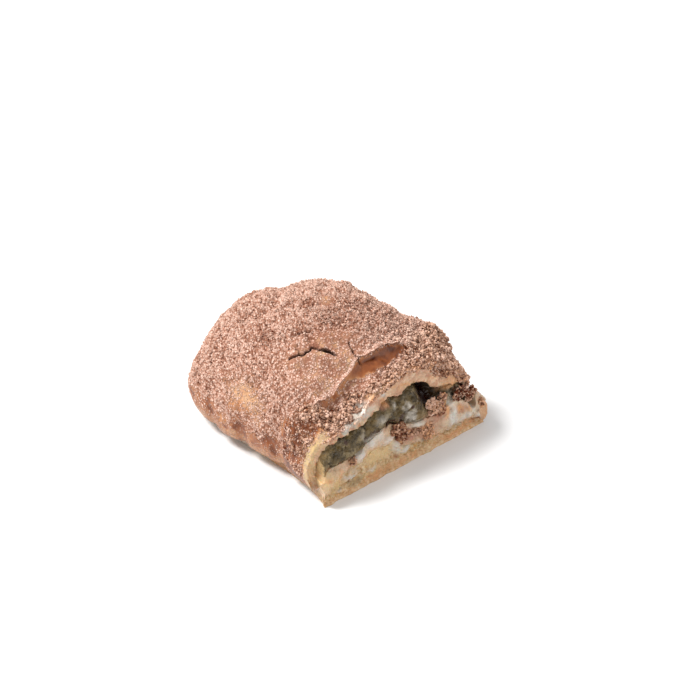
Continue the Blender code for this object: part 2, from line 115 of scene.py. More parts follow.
CRUST_SIDE = 0.935
CRUST_TOP, CRUST_CUT_LEFT = 3.0 * MM, 1.6 * MM
CRUST_CUT_GAIN = (-13 * MM, 2.0 * MM, 2.0 * MM)
CUT_DEPTH = 7.0 * MM
THICK_SPOTS = [(-2.0 * MM, 2.6 * MM, 1.7 * MM), (10.5 * MM, 4.0 * MM, 2.4 * MM)]
CRUST_TIP_LOSS = (17 * MM, 1.2 * MM, 1.5 * MM)
WALL_RISE = 6 * MM
CUT_RELIEF_REACH = 0.011      # relief of the cut face dies out over this share of v

CEILING_REACH, CEILING_BACK = (-0.97, 0.92), 0.965
GAP, SIDE_GAP_GAIN, LOW_GAP_GAIN = 0.35 * MM, 3, 1
FILLING_ENDS, FILLING_BACK = (-0.885, 0.85), 0.875
FILLING_FOOT = 9.4 * MM
FILLING_ARCH = (-6.5 * MM, 5.5 * MM, 3.4 * MM)
FILLING_STEP = (9.5 * MM, 2.5 * MM, 1.4 * MM)
FILLING_SHARE = 0.35
CAVITY, CAVITY_DEPTH, CAVITY_FLOOR = (7.8 * MM, 3.6 * MM, 6.2 * MM), 10.0 * MM, 12.2 * MM
CREAM_ENDS, CREAM_BACK, CREAM_THINNEST, CREAM_BULGE = (-0.885, 1.06), 0.875, 1.0 * MM, 0.5 * MM
CREAM_LEFT_AT_CUT = -0.945
CREAM_END_RISE, CREAM_RISE_BACK = (0.945, 0.012, 4.6 * MM), (0.3, 0.06)
BASE_LEFT, BASE_LEFT_AT_CUT, BASE_LEFT_REACH = -0.875, -0.955, 0.09
BASE_RIGHT, BASE_BACK = 1.06, 0.94
BASE_TOP_LEFT, BASE_TOP_RIGHT = 7.0 * MM, 3.9 * MM
BASE_FALL, BASE_CREST = (1 * MM, 3 * MM), (-8 * MM, 3.5 * MM, 1.6 * MM)
BASE_HEM_TOP, BASE_HEM_LEFT, BASE_HEM_BACK, BASE_HEM_SOFTNESS = 2.8 * MM, 0.79, 0.78, 0.03
BASE_ROUNDING = 0.008
FLANK_END_X, FLANK_FOOT, FLANK_RISE = 25.4 * MM, 1.5 * MM, 5.4

# ---------------------------------------------------------------- details of the finish
CRACKS = [                    # corners (x, y) in mm, spread and depth in mm
    ([(-19.6, -6.7), (-18.4, -7.5), (-17.6, -7.9), (-17.1, -8.6), (-16.0, -8.3), (-15.0, -8.6),
      (-14.1, -8.2), (-13.2, -9.4), (-13.0, -10.2), (-12.4, -10.5), (-11.2, -11.5)], 0.25, 1.2),
    ([(-12.3, -10.9), (-11.5, -11.5), (-10.6, -12.7)], 0.42, 1.5),
    ([(-17.4, -8.0), (-16.9, -6.4), (-15.6, -5.6)], 0.18, 0.6),
    ([(-5.9, -12.2), (-6.3, -13.2), (-6.5, -14.6), (-6.9, -15.2), (-6.4, -16.2)], 0.19, 0.9),
    ([(-4.0, -2.9), (-3.3, -4.4), (-3.1, -5.8)], 0.2, 0.6),
    ([(-11.7, -5.1), (-13.6, -4.2), (-15.5, -2.6)], 0.2, 0.6),
    ([(-7.6, -3.2), (-6.0, -4.6), (-4.8, -4.4)], 0.2, 0.5),
]
GLOSSY_WIDTHS = ([-16, -12, -10, -8.6, -7.2, -4, -0.5, 2, 3.4, 5.5],    # x and bare leaf in mm
                 [0.2, 0.4, 0.8, 1.4, 2.2, 3.3, 3.0, 2.3, 1.5, 0])
BAND_EDGE = ([-28, -24, -17, -12, -9.3, -7, -4, -0.5, 2, 4, 8, 14, 20],      # x and y in mm
             [-13, -14.5, -18.2, -18.6, -19.4, -19.9, -20.2, -20.2, -20, -19.5, -17.5, -14.5, -12])
RIM_WIDTHS = ([-24, -19, -16, -14, -12, -10, -8, -6, -3, 1, 5, 9, 12],   # x and pale rim in mm
              [0.4, 0.4, 0.9, 1.8, 2.3, 2.0, 1.2, 0.7, 0.3, 0.2, 0.4, 0.2, -0.4])
LEFT_PATCHES = [              # y, z, half width and half height in mm, bareness, toasting
    (0.5, 17.4, 6.4, 4.1, 0.66, 0.20),
    (2.5, 14.0, 3.4, 1.8, 0.7, 0.42),
    (-4.5, 13.4, 2.2, 2.4, 0.5, 0.25),
    (1.0, 8.8, 3.0, 3.0, 0.95, 0.85),
    (-3.4, 7.6, 2.4, 2.2, 0.9, 0.62),
    (-8.8, 9.4, 2.8, 3.0, 0.9, 0.85),
    (-13.2, 15.6, 2.6, 2.8, 0.75, 0.5),
    (-18.5, 10.4, 4.4, 2.8, 0.85, 0.6),
    (-23.0, 13.0, 2.4, 4.6, 0.8, 0.5),
    (7.0, 8.0, 2.6, 2.2, 0.7, 0.45),
    (12.0, 8.6, 3.0, 2.6, 0.85, 0.75),
    (19.0, 9.0, 3.2, 2.4, 0.8, 0.6),
]
NOTCHES = [                   # y, z, half width and half height in mm: dents by the hem, painted dark as shade
    (1.6, 9.2, 1.3, 0.9), (0.2, 7.6, 0.8, 1.6), (-8.2, 9.6, 1.3, 0.9), (-9.6, 7.6, 0.7, 1.6),
    (-14.6, 9.4, 0.9, 0.8), (11.6, 8.4, 1.2, 1.0), (19.5, 8.6, 1.2, 0.8),
]
DARKER = [                    # x, y, spread in mm: places where the cocoa lies darker
    (-3.5, -7.5, 3.4), (-9.5, -4.5, 3.0), (2.5, -4.0, 3.6), (8.0, -9.0, 3.0), (-20.0, 3.0, 2.6),
    (-6.0, 3.0, 2.4), (12.0, 2.0, 3.4), (-13.0, -7.0, 2.2),
]
STAINS = {                    # on the cut: x, z, half width and half height in mm, strength
    "olive": [
        (-16.4, 2.4, 2.8, 1.3, 0.7), (-21.6, 8.4, 2.0, 1.0, 0.5), (4.4, 11.0, 2.2, 2.0, 0.8),
        (13.4, 11.8, 1.0, 1.2, 0.5),
    ],
    "yellow": [
        (-26.8, 14.4, 2.8, 3.2, 1.1), (-27.6, 9.6, 2.4, 6.4, 1.1), (-10.4, 6.4, 3.2, 2.4, 0.9),
        (-6.6, 6.6, 2.6, 2.4, 0.9), (-21.6, 5.0, 2.2, 3.0, 0.8), (-25.0, 7.2, 3.0, 3.4, 0.9),
        (-27.4, 11.6, 1.6, 3.6, 0.9), (-12.0, 2.4, 3.0, 1.4, 0.7), (8.5, 2.6, 3.0, 1.2, 0.4),
    ],
    "pink": [
        (17.0, 7.7, 1.8, 1.2, 1.0), (14.4, 16.4, 2.6, 1.2, 1.0), (7.6, 19.8, 1.2, 0.8, 0.8),
        (11.6, 17.6, 1.4, 1.0, 0.8), (3.0, 21.0, 1.4, 0.6, 0.7), (1.6, 7.2, 3.6, 1.7, 1.0),
        (6.2, 6.6, 3.6, 2.2, 0.9), (9.2, 9.4, 3.4, 3.0, 0.8), (-6.4, 18.9, 2.2, 1.6, 0.7),
        (-1.2, 19.8, 2.4, 1.8, 0.5), (5.2, 21.0, 4.0, 1.4, 0.5), (-3.0, 3.0, 1.6, 0.9, 0.5),
        (-11.0, 20.4, 2.2, 0.8, 0.6), (22.5, 1.6, 3.0, 1.0, 0.6),
    ],
    "orange": [
        (-24.4, 7.0, 1.2, 1.0, 0.9), (-20.3, 6.2, 1.0, 2.6, 0.7), (-12.6, 7.8, 0.8, 1.4, 0.6),
        (-9.5, 1.3, 6.0, 1.3, 0.7), (0.5, 1.2, 6.0, 0.9, 0.6), (10.8, 3.2, 1.7, 1.8, 0.9),
        (15.5, 1.3, 8.0, 0.9, 0.8), (24.2, 3.0, 1.8, 3.4, 0.8), (16.6, 7.8, 1.2, 1.2, 0.8),
        (19.0, 7.2, 1.0, 0.8, 0.6), (14.0, 16.6, 2.0, 1.2, 0.9), (12.2, 9.6, 0.8, 2.2, 0.8),
        (-5.6, 19.6, 0.7, 1.6, 0.8), (0.8, 20.4, 2.6, 0.8, 0.7), (8.0, 4.2, 3.0, 1.2, 0.5),
        (19.0, 3.4, 5.0, 0.8, 0.6), (9.6, 18.8, 1.8, 1.6, 0.5), (15.5, 15.4, 3.2, 1.4, 0.9),
        (12.4, 14.6, 2.4, 0.9, 1.0), (18.4, 14.6, 1.6, 1.6, 0.9), (-17.2, 8.4, 1.1, 1.1, 0.9),
        (-15.4, 17.6, 1.6, 0.5, 0.6), (-20.6, 16.9, 2.6, 0.5, 0.7), (-2.6, 21.4, 1.6, 0.7, 0.6),
    ],
    # brown: dark cocoa, and painted shade along the crease under the filling's lobes and in the
    # hollow under the crust.
    "brown": [
        (-9.6, 12.9, 1.8, 0.6, 1.0), (-4.4, 13.0, 2.4, 0.7, 1.0), (-11.0, 12.4, 1.8, 0.5, 0.8),
        (-6.2, 13.1, 4.4, 0.5, 0.9), (-1.6, 12.8, 2.0, 0.8, 0.9), (6.4, 15.4, 1.6, 1.2, 0.8),
        (10.4, 14.6, 2.2, 0.5, 1.0), (-2.4, 9.8, 2.2, 2.6, 0.7), (18.6, 11.6, 3.6, 1.8, 0.9),
        (15.4, 13.0, 1.0, 0.8, 0.9), (-20.2, 2.0, 0.9, 0.5, 0.6), (1.6, 14.6, 0.6, 0.5, 1.0),
        (-17.8, 3.2, 0.6, 0.4, 0.6), (-17.6, 13.4, 0.5, 0.5, 0.8), (22.3, 5.0, 0.5, 0.7, 0.6),
        (-23.4, 8.8, 1.6, 0.4, 0.6),
    ],
    "milk": [
        (-7.6, 15.4, 3.0, 1.6, 0.34), (-26.4, 2.4, 0.8, 2.6, 0.9), (-14.4, 8.9, 2.4, 1.1, 0.9),
        (-9.6, 10.9, 2.6, 1.7, 1.0), (-6.6, 9.4, 2.2, 1.5, 0.7), (-3.4, 5.6, 2.1, 1.8, 1.0),
        (-17.0, 17.0, 3.4, 0.9, 1.0), (-12.0, 18.6, 3.2, 1.7, 1.0), (-5.7, 20.8, 1.2, 0.5, 0.8),
        (2.0, 11.8, 1.5, 2.0, 0.8), (3.6, 9.2, 2.4, 0.8, 0.7), (-3.4, 16.8, 1.3, 0.8, 0.6),
        (-0.2, 15.4, 1.1, 1.2, 0.9), (13.9, 10.4, 1.1, 2.4, 0.7), (14.5, 6.6, 1.3, 2.9, 1.0),
        (18.0, 4.9, 3.0, 0.9, 0.7), (20.7, 5.6, 0.9, 1.7, 0.9), (22.3, 3.8, 1.1, 0.7, 0.8),
        (-17.4, 4.4, 2.4, 0.6, 0.8), (-15.4, 5.8, 2.2, 0.8, 0.5), (-13.0, 13.6, 1.0, 2.2, 0.35),
        (-8.4, 12.0, 1.6, 0.6, 0.7), (4.6, 4.0, 1.6, 0.7, 0.6), (-11.5, 3.6, 2.4, 0.5, 0.6),
        (-0.4, 3.9, 2.0, 0.6, 0.7), (9.4, 2.4, 2.2, 0.4, 0.5), (17.2, 2.6, 2.4, 0.4, 0.5),
        (-20.6, 1.6, 1.4, 0.7, 0.5),
    ],
}
SPILL = ([-25, -22, -18, -9, -5, 2, 6, 11, 15, 20],        # x in mm and share of the cut's rim
         [0.0, 0.15, 0.03, 0.03, 0.3, 0.25, 0.15, 0.45, 0.55, 0.85])
LOBES = [                     # of the filling: x, z, half width, half height and swelling in mm
    (-20.2, 12.7, 4.6, 3.6, 1.0), (-15.2, 13.2, 2.6, 2.6, 0.7), (-7.4, 15.6, 4.6, 2.5, 1.1),
    (1.9, 17.2, 3.2, 3.4, 0.8), (4.4, 11.0, 2.8, 2.2, 0.4), (-26.0, 10.4, 1.6, 1.2, 0.3),
]
PILES = [                     # x, z, half width and half height in mm, count, tone, warmth, spread
    (7.8, 12.8, 1.5, 1.4, 110, 0.80, 0.40, 0.30),
    (9.2, 11.0, 1.9, 1.9, 180, 0.74, 0.50, 0.32),
    (11.4, 12.4, 1.3, 1.6, 90, 0.50, 0.60, 0.34),
    (11.0, 9.8, 1.6, 1.1, 80, 0.66, 0.70, 0.30),
    (-2.6, 10.4, 1.9, 1.9, 170, 0.36, 0.80, 0.30),
    (-1.6, 8.0, 2.2, 1.2, 120, 0.46, 0.80, 0.30),
    (5.9, 6.8, 2.1, 1.7, 170, 0.76, 0.75, 0.30),
    (6.4, 4.6, 1.3, 1.2, 70, 0.80, 0.80, 0.26),
    (3.0, 7.6, 1.8, 0.9, 70, 0.55, 0.60, 0.28),
    (17.4, 11.6, 2.7, 1.5, 210, 0.34, 0.45, 0.52),
    (20.2, 9.8, 1.9, 1.6, 140, 0.40, 0.50, 0.52),
    (23.4, 6.4, 1.0, 1.6, 60, 0.60, 0.75, 0.30),
    (-16.8, 8.6, 1.0, 0.9, 34, 0.50, 0.75, 0.25),
    (18.4, 15.0, 1.3, 0.9, 60, 0.60, 0.60, 0.30),
    (12.6, 19.0, 1.6, 0.9, 50, 0.45, 0.70, 0.35),
]
POWDER_SEEDS, POWDER_COUNT, POWDER_RADIUS = (211, 223), 24500, (0.07, 0.18)   # radii in mm
GRAIN_COUNT, GRAIN_RADIUS = 9900, (0.14, 0.32)
FLAKE_COUNT, FLAKE_RADIUS = 6800, (0.17, 0.40)
SHELF_CRUMBS, SHELF_RADIUS = 1300, (0.12, 0.36)
RIM_CRUMBS, RIM_RADIUS = 1900, (0.15, 0.36)
SIDES = ("top", "under", "cut", "back", "left", "right")


# ---------------------------------------------------------------- shape functions
def bell(distance, spread):
    """A smooth hill of height 1 at no distance."""
    return np.exp(-(distance / spread) ** 2)


def step_up(distance, softness):
    """Rises smoothly from 0 to 1 as the distance passes through nothing."""
    return 0.5 + 0.5 * np.tanh(0.5 * distance / softness)


def rounded(share, roundness):
    """Section of a puffed shape: 1 in the middle, 0 at the side."""
    power, flatness = roundness
    return np.clip(1 - np.abs(share) ** power, 0, 1) ** flatness


def plan_x(s, t):
    """Place across the slice of the share s, drawn in at the back corners."""
    pull = 1 - CORNER_PULL * s ** 4 * np.clip(t, 0, 1) ** 4
    return CREST_X + s * np.where(s < 0, CREST_X - LEFT_X, RIGHT_X - CREST_X) * pull


def plan_y(s, t, z):
    """Depth of a point; in front of the crest it follows the leaning cut."""
    pull = 1 - CORNER_PULL * s ** 4 * np.clip(t, 0, 1) ** 4
    reach = np.where(t < 0, CREST_Y - (CUT_Y + CUT_LEAN * z), (BACK_Y - CREST_Y) * pull)
    return CREST_Y + t * reach - tuck(t, z)


def side_wave(s, y):
    """Moves the left side of every layer in and out in one slow wave."""
    wave = SIDE_WAVE * np.cos(2 * np.pi * (y - SIDE_WAVE_IN_Y) / SIDE_WAVE_LENGTH)
    return wave * np.clip(-s, 0, 1) ** SIDE_REACH


def tuck(share, z):
    """How far a side draws in at a height; share is 1 at the side and 0 or less away from it."""
    low = np.clip((TUCK_TOP - z) / (TUCK_TOP - HEM_HEIGHT), 0, 1) ** 1.5
    return TUCK * low * np.clip(share, 0, 1) ** SIDE_REACH


def side_folds(s, y, z):
    """Narrow upright folds pressed into the left side, deepest at the hem."""
    folds = sum(depth * bell(y - place, FOLD_SPREAD) for place, depth in SIDE_FOLDS)
    return folds * np.clip(1 - z / FOLD_TOP, 0, 1) * np.clip(-s, 0, 1) ** SIDE_REACH


def dome(s, t):
    """Height of the puffed top: crest height times its sections both ways, plus swellings."""
    front = 1 - (CREST_HEIGHT - CUT_HEIGHT) / (CREST_HEIGHT - HEM_HEIGHT) * np.abs(t) ** FRONT_FALL
    along = np.where(t < 0, front, rounded(t, BACK_ROUNDNESS))
    across = np.where(s < 0, rounded(s, LEFT_ROUNDNESS), rounded(s, RIGHT_ROUNDNESS))
    fullness = across * along
    x, y = plan_x(s, t), plan_y(s, t, CUT_HEIGHT)
    lumps = sum(height * bell(np.hypot(x - cx, y - cy), spread)
                for cx, cy, spread, height in SWELLINGS)
    return (HEM_HEIGHT + (CREST_HEIGHT - HEM_HEIGHT) * fullness
            + lumps * np.clip(3 * fullness, 0, 1))


def torn_front(x, y):
    """How far a place lies in front of the torn edge; negative behind it."""
    return np.interp(x, *np.transpose(TORN_EDGE)) - y


def torn_ends(x):
    """1 along the torn edge, fading to 0 past its two ends."""
    return step_up(x - TORN_ENDS[0], 1 * MM) * step_up(TORN_ENDS[1] - x, 1 * MM)


def rumple(s, t):
    """Slow rumples of the crust: two crossed waves."""
    x, y = plan_x(s, t), plan_y(s, t, CUT_HEIGHT)
    long_x, long_y = RUMPLE_LENGTHS
    return RUMPLE * (np.sin(2 * np.pi * x / long_x + 1.3) * np.cos(2 * np.pi * y / long_y)
                     + 0.6 * np.sin(2 * np.pi * (x + 1.7 * y) / long_x))


def torn_step(s, t):
    """Drop in front of the torn edge, which comes level again further on."""
    x, y = plan_x(s, t), plan_y(s, t, CUT_HEIGHT)
    ahead = torn_front(x, y)
    fade = np.clip(1 - (ahead / TORN_REACH) ** 2, 0, 1)
    return TORN_STEP * step_up(ahead, TORN_SOFTNESS) * fade * torn_ends(x)


def cut_share(t):
    """1 at the cut, falling to 0 a little way inside."""
    return bell((t + 1) * (CREST_Y - CUT_Y), CUT_DEPTH)


def crust_thickness(s, t):
    """Thickness of the crust, with the thick and thin spots of the cut."""
    x = plan_x(s, t)
    gain_x, gain_softness, gain = CRUST_CUT_GAIN
    loss_x, loss_softness, loss = CRUST_TIP_LOSS
    at_cut = (CRUST_CUT_LEFT + gain * step_up(x - gain_x, gain_softness)
              + sum(more * bell(x - place, spread) for place, spread, more in THICK_SPOTS)
              - loss * step_up(x - loss_x, loss_softness))
    share = cut_share(t)
    return share * at_cut + (1 - share) * CRUST_TOP


def ceiling(s, t):
    """Underside of the crust, at shares of its own smaller width and depth."""
    height = dome(s, t)
    return height - crust_thickness(s, t) * np.clip((height - HEM_HEIGHT) / WALL_RISE, 0, 1)


def clearance(s, t, gain=SIDE_GAP_GAIN):
    """Gap between two layers, wider towards the steep sides."""
    return GAP * (1 + gain * np.clip(np.maximum(np.abs(s), t), 0, 1) ** SIDE_REACH)


def filling_top(s, t):
    """Top of the filling: just under the crust, with the hollow behind the cut."""
    x = plan_x(s, t)
    inner_s = np.clip(s / CRUST_SIDE, *CEILING_REACH)
    inner_t = np.where(t > 0, np.clip(t / CRUST_SIDE, 0, CEILING_BACK), t)
    place, spread, drop = CAVITY
    hollow = drop * bell(x - place, spread) * bell((t + 1) * (CREST_Y - CUT_Y), CAVITY_DEPTH)
    full = ceiling(inner_s, inner_t) - clearance(s, t) - GAP * cut_share(t)
    return full - np.minimum(hollow, np.clip(full - CAVITY_FLOOR, 0, None))


def filling_foot(s, t):
    """Foot of the filling: level, arched and stepped at the cut, and never above its share."""
    x = plan_x(s, t)
    place, spread, rise = FILLING_ARCH
    step_x, softness, step_rise = FILLING_STEP
    level = (FILLING_FOOT + rise * bell(x - place, spread) * cut_share(t)
             + step_rise * step_up(x - step_x, softness) * cut_share(t))
    top = filling_top(s, t)
    return np.minimum(level, top - FILLING_SHARE * (top - HEM_HEIGHT))


def flank(s, t):
    """The right flank, a curve that climbs steeply and then leans in."""
    run = np.clip(FLANK_END_X - plan_x(s, t), 0, None) / MM
    return FLANK_FOOT + FLANK_RISE * MM * np.sqrt(run)


def cream_top(s, t):
    """Top of the cream: under the filling, higher beyond its right end, inside the flank."""
    place, softness, rise = CREAM_END_RISE
    end_t, fade = CREAM_RISE_BACK
    beyond = rise * step_up(s - place, softness) * step_up(end_t - t, fade)
    return np.minimum(filling_foot(s, t) - clearance(s, t) - GAP * cut_share(t) + beyond,
                      flank(s, t))


def base_top(s, t):
    """Top of the base: two levels and a crest at the cut, low at the hems."""
    x = plan_x(s, t)
    place, spread, rise = BASE_CREST
    fall_x, softness = BASE_FALL
    level = (BASE_TOP_LEFT + (BASE_TOP_RIGHT - BASE_TOP_LEFT) * step_up(x - fall_x, softness)
             + rise * bell(x - place, spread) * cut_share(t))
    hem = np.maximum(step_up(-s - BASE_HEM_LEFT, BASE_HEM_SOFTNESS),
                     step_up(t - BASE_HEM_BACK, BASE_HEM_SOFTNESS))
    level = level + (np.minimum(BASE_HEM_TOP, level) - level) * hem
    under_s, under_t = np.clip(s, *CREAM_ENDS), np.minimum(t, CREAM_BACK)
    return np.minimum(level, cream_top(under_s, under_t) - CREAM_THINNEST
                      - clearance(under_s, under_t, LOW_GAP_GAIN))


def across_share(u, left, right):
    """Even steps of angle, which bring the columns closer at the steep sides."""
    first, last = np.arcsin(np.clip(left, -1, 1)), np.arcsin(np.clip(right, -1, 1))
    return np.sin(first + u * (last - first)) * np.where(u > 0.5, np.maximum(right, 1), 1)


def depth_share(v, back):
    """-1 at the cut, 0 at the crest and `back` at the back."""
    return np.where(v < 0.5, 2 * v - 1, np.sin(np.pi / 2 * np.clip(2 * v - 1, 0, 1)) * back)


def hem_ends(v):
    """Left and right ends of the crust; the right one is trimmed higher at the cut."""
    return HEM_LEFT, HEM_RIGHT + (HEM_RIGHT_AT_CUT - HEM_RIGHT) * np.exp(-v / HEM_TRIM_REACH)


def corner_setback(s, t):
    """How far the crust stands back at its left corner, fading towards the crest."""
    return CORNER_SETBACK * np.clip(-s, 0, 1) ** CORNER_SETBACK_POWER * np.clip(-t, 0, 1)


def skin(s, t, raised):
    """Outside of the crust at shares (s, t), raised by a height: the dome with its side wave,
    tuck and folds."""
    z = dome(s, t) + raised
    y = plan_y(s, t, z) + corner_setback(s, t)
    x = plan_x(s, t) + side_wave(s, y) + tuck(-s, z) + side_folds(s, y, z)
    return np.stack((x, y, z), -1)


def lining(s, t):
    """Inside of the crust at shares (s, t)."""
    inner_s, inner_t = s * CRUST_SIDE, np.where(t > 0, t * CRUST_SIDE, t)
    z = ceiling(s, t)
    y = plan_y(inner_s, inner_t, z) + corner_setback(s, t)
    x = plan_x(inner_s, inner_t) + side_wave(inner_s, y) + tuck(-inner_s, z)
    return np.stack((x, y, z), -1)


# ---------------------------------------------------------------- noise
def random_at(cell, seed):
    """An even random number from 0 to 1 for each whole-number place (x, y, z)."""
    x, y, z = np.moveaxis(cell.astype(np.int64), -1, 0)
    mixed = (x * 73856093 ^ y * 19349663 ^ z * 83492791 ^ seed * 40503) & 0x7FFFFFFF
    mixed = ((mixed ^ mixed >> 13) * 1274126177) & 0x7FFFFFFF
    mixed = ((mixed ^ mixed >> 15) * 668265263) & 0x7FFFFFFF
    return (mixed ^ mixed >> 16) / 0x7FFFFFFF


def soft_noise(points, size, seed):
    """Smooth noise from -1 to 1 with hills of this size: random numbers at the corners of a
    cubic grid, blended with weights 3f^2 - 2f^3."""
    places = points / size
    cell = np.floor(places)
    part = places - cell
    part = part * part * (3 - 2 * part)
    total = 0
    for corner in np.ndindex(2, 2, 2):
        weight = np.prod(np.where(corner, part, 1 - part), axis=-1)
        total = total + weight * random_at(cell + corner, seed)
    return 2 * total - 1


def rough_noise(points, size, seed, octaves=3):
    """Soft noise of halving size and height, added up."""
    return sum(soft_noise(points, size / 2 ** k, seed + k) / 2 ** k for k in range(octaves))


def cobbles(points, size, seed):
    """Distances, in cells of this size, to the nearest and next of points scattered one to a
    cell, and a random number of the nearest. The first shapes round lumps, the difference is 0
    in the seams between them, and the number tells them apart."""
    places = points / size
    cell = np.floor(places)
    first = np.full(points.shape[:-1], 9.0)
    second, pick = first.copy(), first.copy()
    for step in np.ndindex(3, 3, 3):
        near = cell + (np.array(step) - 1)
        seedling = np.stack([random_at(near, seed + k) for k in range(3)], -1)
        distance = np.linalg.norm(places - near - seedling, axis=-1)
        second = np.minimum(second, np.maximum(first, distance))
        pick = np.where(distance < first, seedling[..., 0] * 7.3 % 1, pick)
        first = np.minimum(first, distance)
    return first, second, pick


def knobs(points, size, seed):
    """Round knobs: a half ball over each scattered point, about 0 to 1."""
    return np.sqrt(np.clip(1 - (cobbles(points, size, seed)[0] / 0.85) ** 2, 0, 1))


def flakes(points, size, seed):
    """Jagged flakes, 0 to 1: each cell of a warped scatter is a plateau at its own random
    height, rounded over and with a deep seam round it."""
    warp = np.stack([soft_noise(points, size * 0.7, seed + k) for k in (5, 6, 7)], -1)
    first, second, pick = cobbles(points + warp * size * 0.35, size, seed)
    seam = np.clip((second - first) / 0.22, 0, 1)
    return (0.25 + 0.75 * pick) * seam * (1 - 0.35 * np.clip(first, 0, 1))


def line_distance(x, y, corners):
    """Distance of each place to a broken line, the least over its stretches."""
    best = np.full(np.shape(x), 1.0)
    for (ax, ay), (bx, by) in zip(corners[:-1], corners[1:]):
        dx, dy = bx - ax, by - ay
        share = np.clip(((x - ax) * dx + (y - ay) * dy) / (dx * dx + dy * dy), 0, 1)
        best = np.minimum(best, np.hypot(x - ax - share * dx, y - ay - share * dy))
    return best


# ---------------------------------------------------------------- meshes
def numbered(columns, rows, levels):
    """Numbers the surface points of a box lattice, and gives their (u, v, w) steps."""
    steps = np.indices((columns + 1, rows + 1, levels + 1))
    top = np.array([columns, rows, levels]).reshape(3, 1, 1, 1)
    outside = ((steps == 0) | (steps == top)).any(0)
    number = np.full(outside.shape, -1)
    number[outside] = np.arange(outside.sum())
    return number, steps[:, outside].T


def quads(side, turned):
    """The quads of a grid of point numbers, turned over if asked."""
    faces = np.stack((side[:-1, :-1], side[1:, :-1], side[1:, 1:], side[:-1, 1:]), -1)
    faces = faces.reshape(-1, 4)
    return faces[:, ::-1] if turned else faces


def coarse(side, step, turned):
    """A hidden side in cells of several steps; its rim cells keep every point of the rim."""
    across, deep = (n // step for n in (side.shape[0] - 1, side.shape[1] - 1))
    faces = []
    for i, j in np.ndindex(across, deep):
        a, b = i * step, j * step
        c, d = a + step, b + step
        loop = np.concatenate((side[a:c, b][::1 if j == 0 else step],
                               side[c, b:d][::1 if i == across - 1 else step],
                               side[c:a if a else None:-1, d][:step][::1 if j == deep - 1 else step],
                               side[a, d:b if b else None:-1][:step][::1 if i == 0 else step]))
        faces.append((loop[::-1] if turned else loop).tolist())
    return faces


def box_shell(columns, rows, levels, hidden=None, step=8):
    """Surface of a box lattice: shares (u, v, w) of its points, its faces and the side that
    each face is on. One hidden side may be made of large cells."""
    number, steps = numbered(columns, rows, levels)
    sheets = {"top": (number[:, :, -1], False), "under": (number[:, :, 0], True),
              "cut": (number[:, 0, :], False), "back": (number[:, -1, :], True),
              "left": (number[0], True), "right": (number[-1], False)}
    faces, side_of = [], []
    for index, name in enumerate(SIDES):
        sheet, turned = sheets[name]
        made = coarse(sheet, step, turned) if name == hidden else quads(sheet, turned).tolist()
        faces += made
        side_of += [index] * len(made)
    used = np.unique(np.concatenate([np.ravel(face) for face in faces]))
    renumber = np.full(len(steps), -1)
    renumber[used] = np.arange(len(used))
    lengths = np.array([len(face) for face in faces])
    flat = renumber[np.concatenate(faces)]
    faces = [part.tolist() for part in np.split(flat, np.cumsum(lengths)[:-1])]
    return steps[used], faces, np.array(side_of)


def add_piece(name, points, faces, materials, stands_for=None, values=None,
              material_of=None):
    """Makes a mesh piece of the slice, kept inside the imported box, and fixes it to the body."""
    low, high = (np.array(corner) for corner in CAD_BOX)
    mesh = bpy.data.meshes.new(name)
    mesh.from_pydata(np.clip(points, low, high), [], faces)
    for key, numbers in (values or {}).items():
        layer = mesh.attributes.new(key, "FLOAT", "POINT")
        layer.data.foreach_set("value", np.ascontiguousarray(numbers, np.float32))
    for material in materials:
        mesh.materials.append(material)
    if material_of is not None:
        mesh.polygons.foreach_set("material_index", np.ascontiguousarray(material_of, np.int32))
    mesh.shade_smooth()
    mesh.update()
    piece = bpy.data.objects.new(name, mesh)
    bpy.context.scene.collection.objects.link(piece)
    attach(piece, BODY)
    if stands_for:
        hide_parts(stands_for)
    return piece


def normals_of(place, a, b, step=1.5e-3):
    """Unit normals of a surface place(a, b), from small steps to both sides."""
    low_a, high_a = np.clip(a - step, 0, 1), np.clip(a + step, 0, 1)
    low_b, high_b = np.clip(b - step, 0, 1), np.clip(b + step, 0, 1)
    crossed = np.cross(place(high_a, b) - place(low_a, b), place(a, high_b) - place(a, low_b))
    return crossed / (np.linalg.norm(crossed, axis=-1, keepdims=True) + 1e-15)


def area_of(place, a, b, step=1e-3):
    """Area of the surface per share of a and b."""
    high_a, high_b = np.clip(a + step, 0, 1), np.clip(b + step, 0, 1)
    crossed = np.cross(place(high_a, b) - place(a, b), place(a, high_b) - place(a, b))
    return np.linalg.norm(crossed, axis=-1)


def ball(subdivisions):
    """Corners and triangles of a ball of 20 faces, or of 80 at two subdivisions."""
    bm = bmesh.new()
    bmesh.ops.create_icosphere(bm, subdivisions=subdivisions, radius=1)
    corners = np.array([vert.co[:] for vert in bm.verts])
    triangles = np.array([[vert.index for vert in face.verts] for face in bm.faces])
    bm.free()
    return corners, triangles


def bead():
    """Corners and triangles of a bead of 8 faces."""
    corners = np.concatenate((np.eye(3), -np.eye(3)))
    triangles = np.array([[0, 1, 2], [1, 3, 2], [3, 4, 2], [4, 0, 2],
                          [1, 0, 5], [3, 1, 5], [4, 3, 5], [0, 4, 5]])
    return corners, triangles


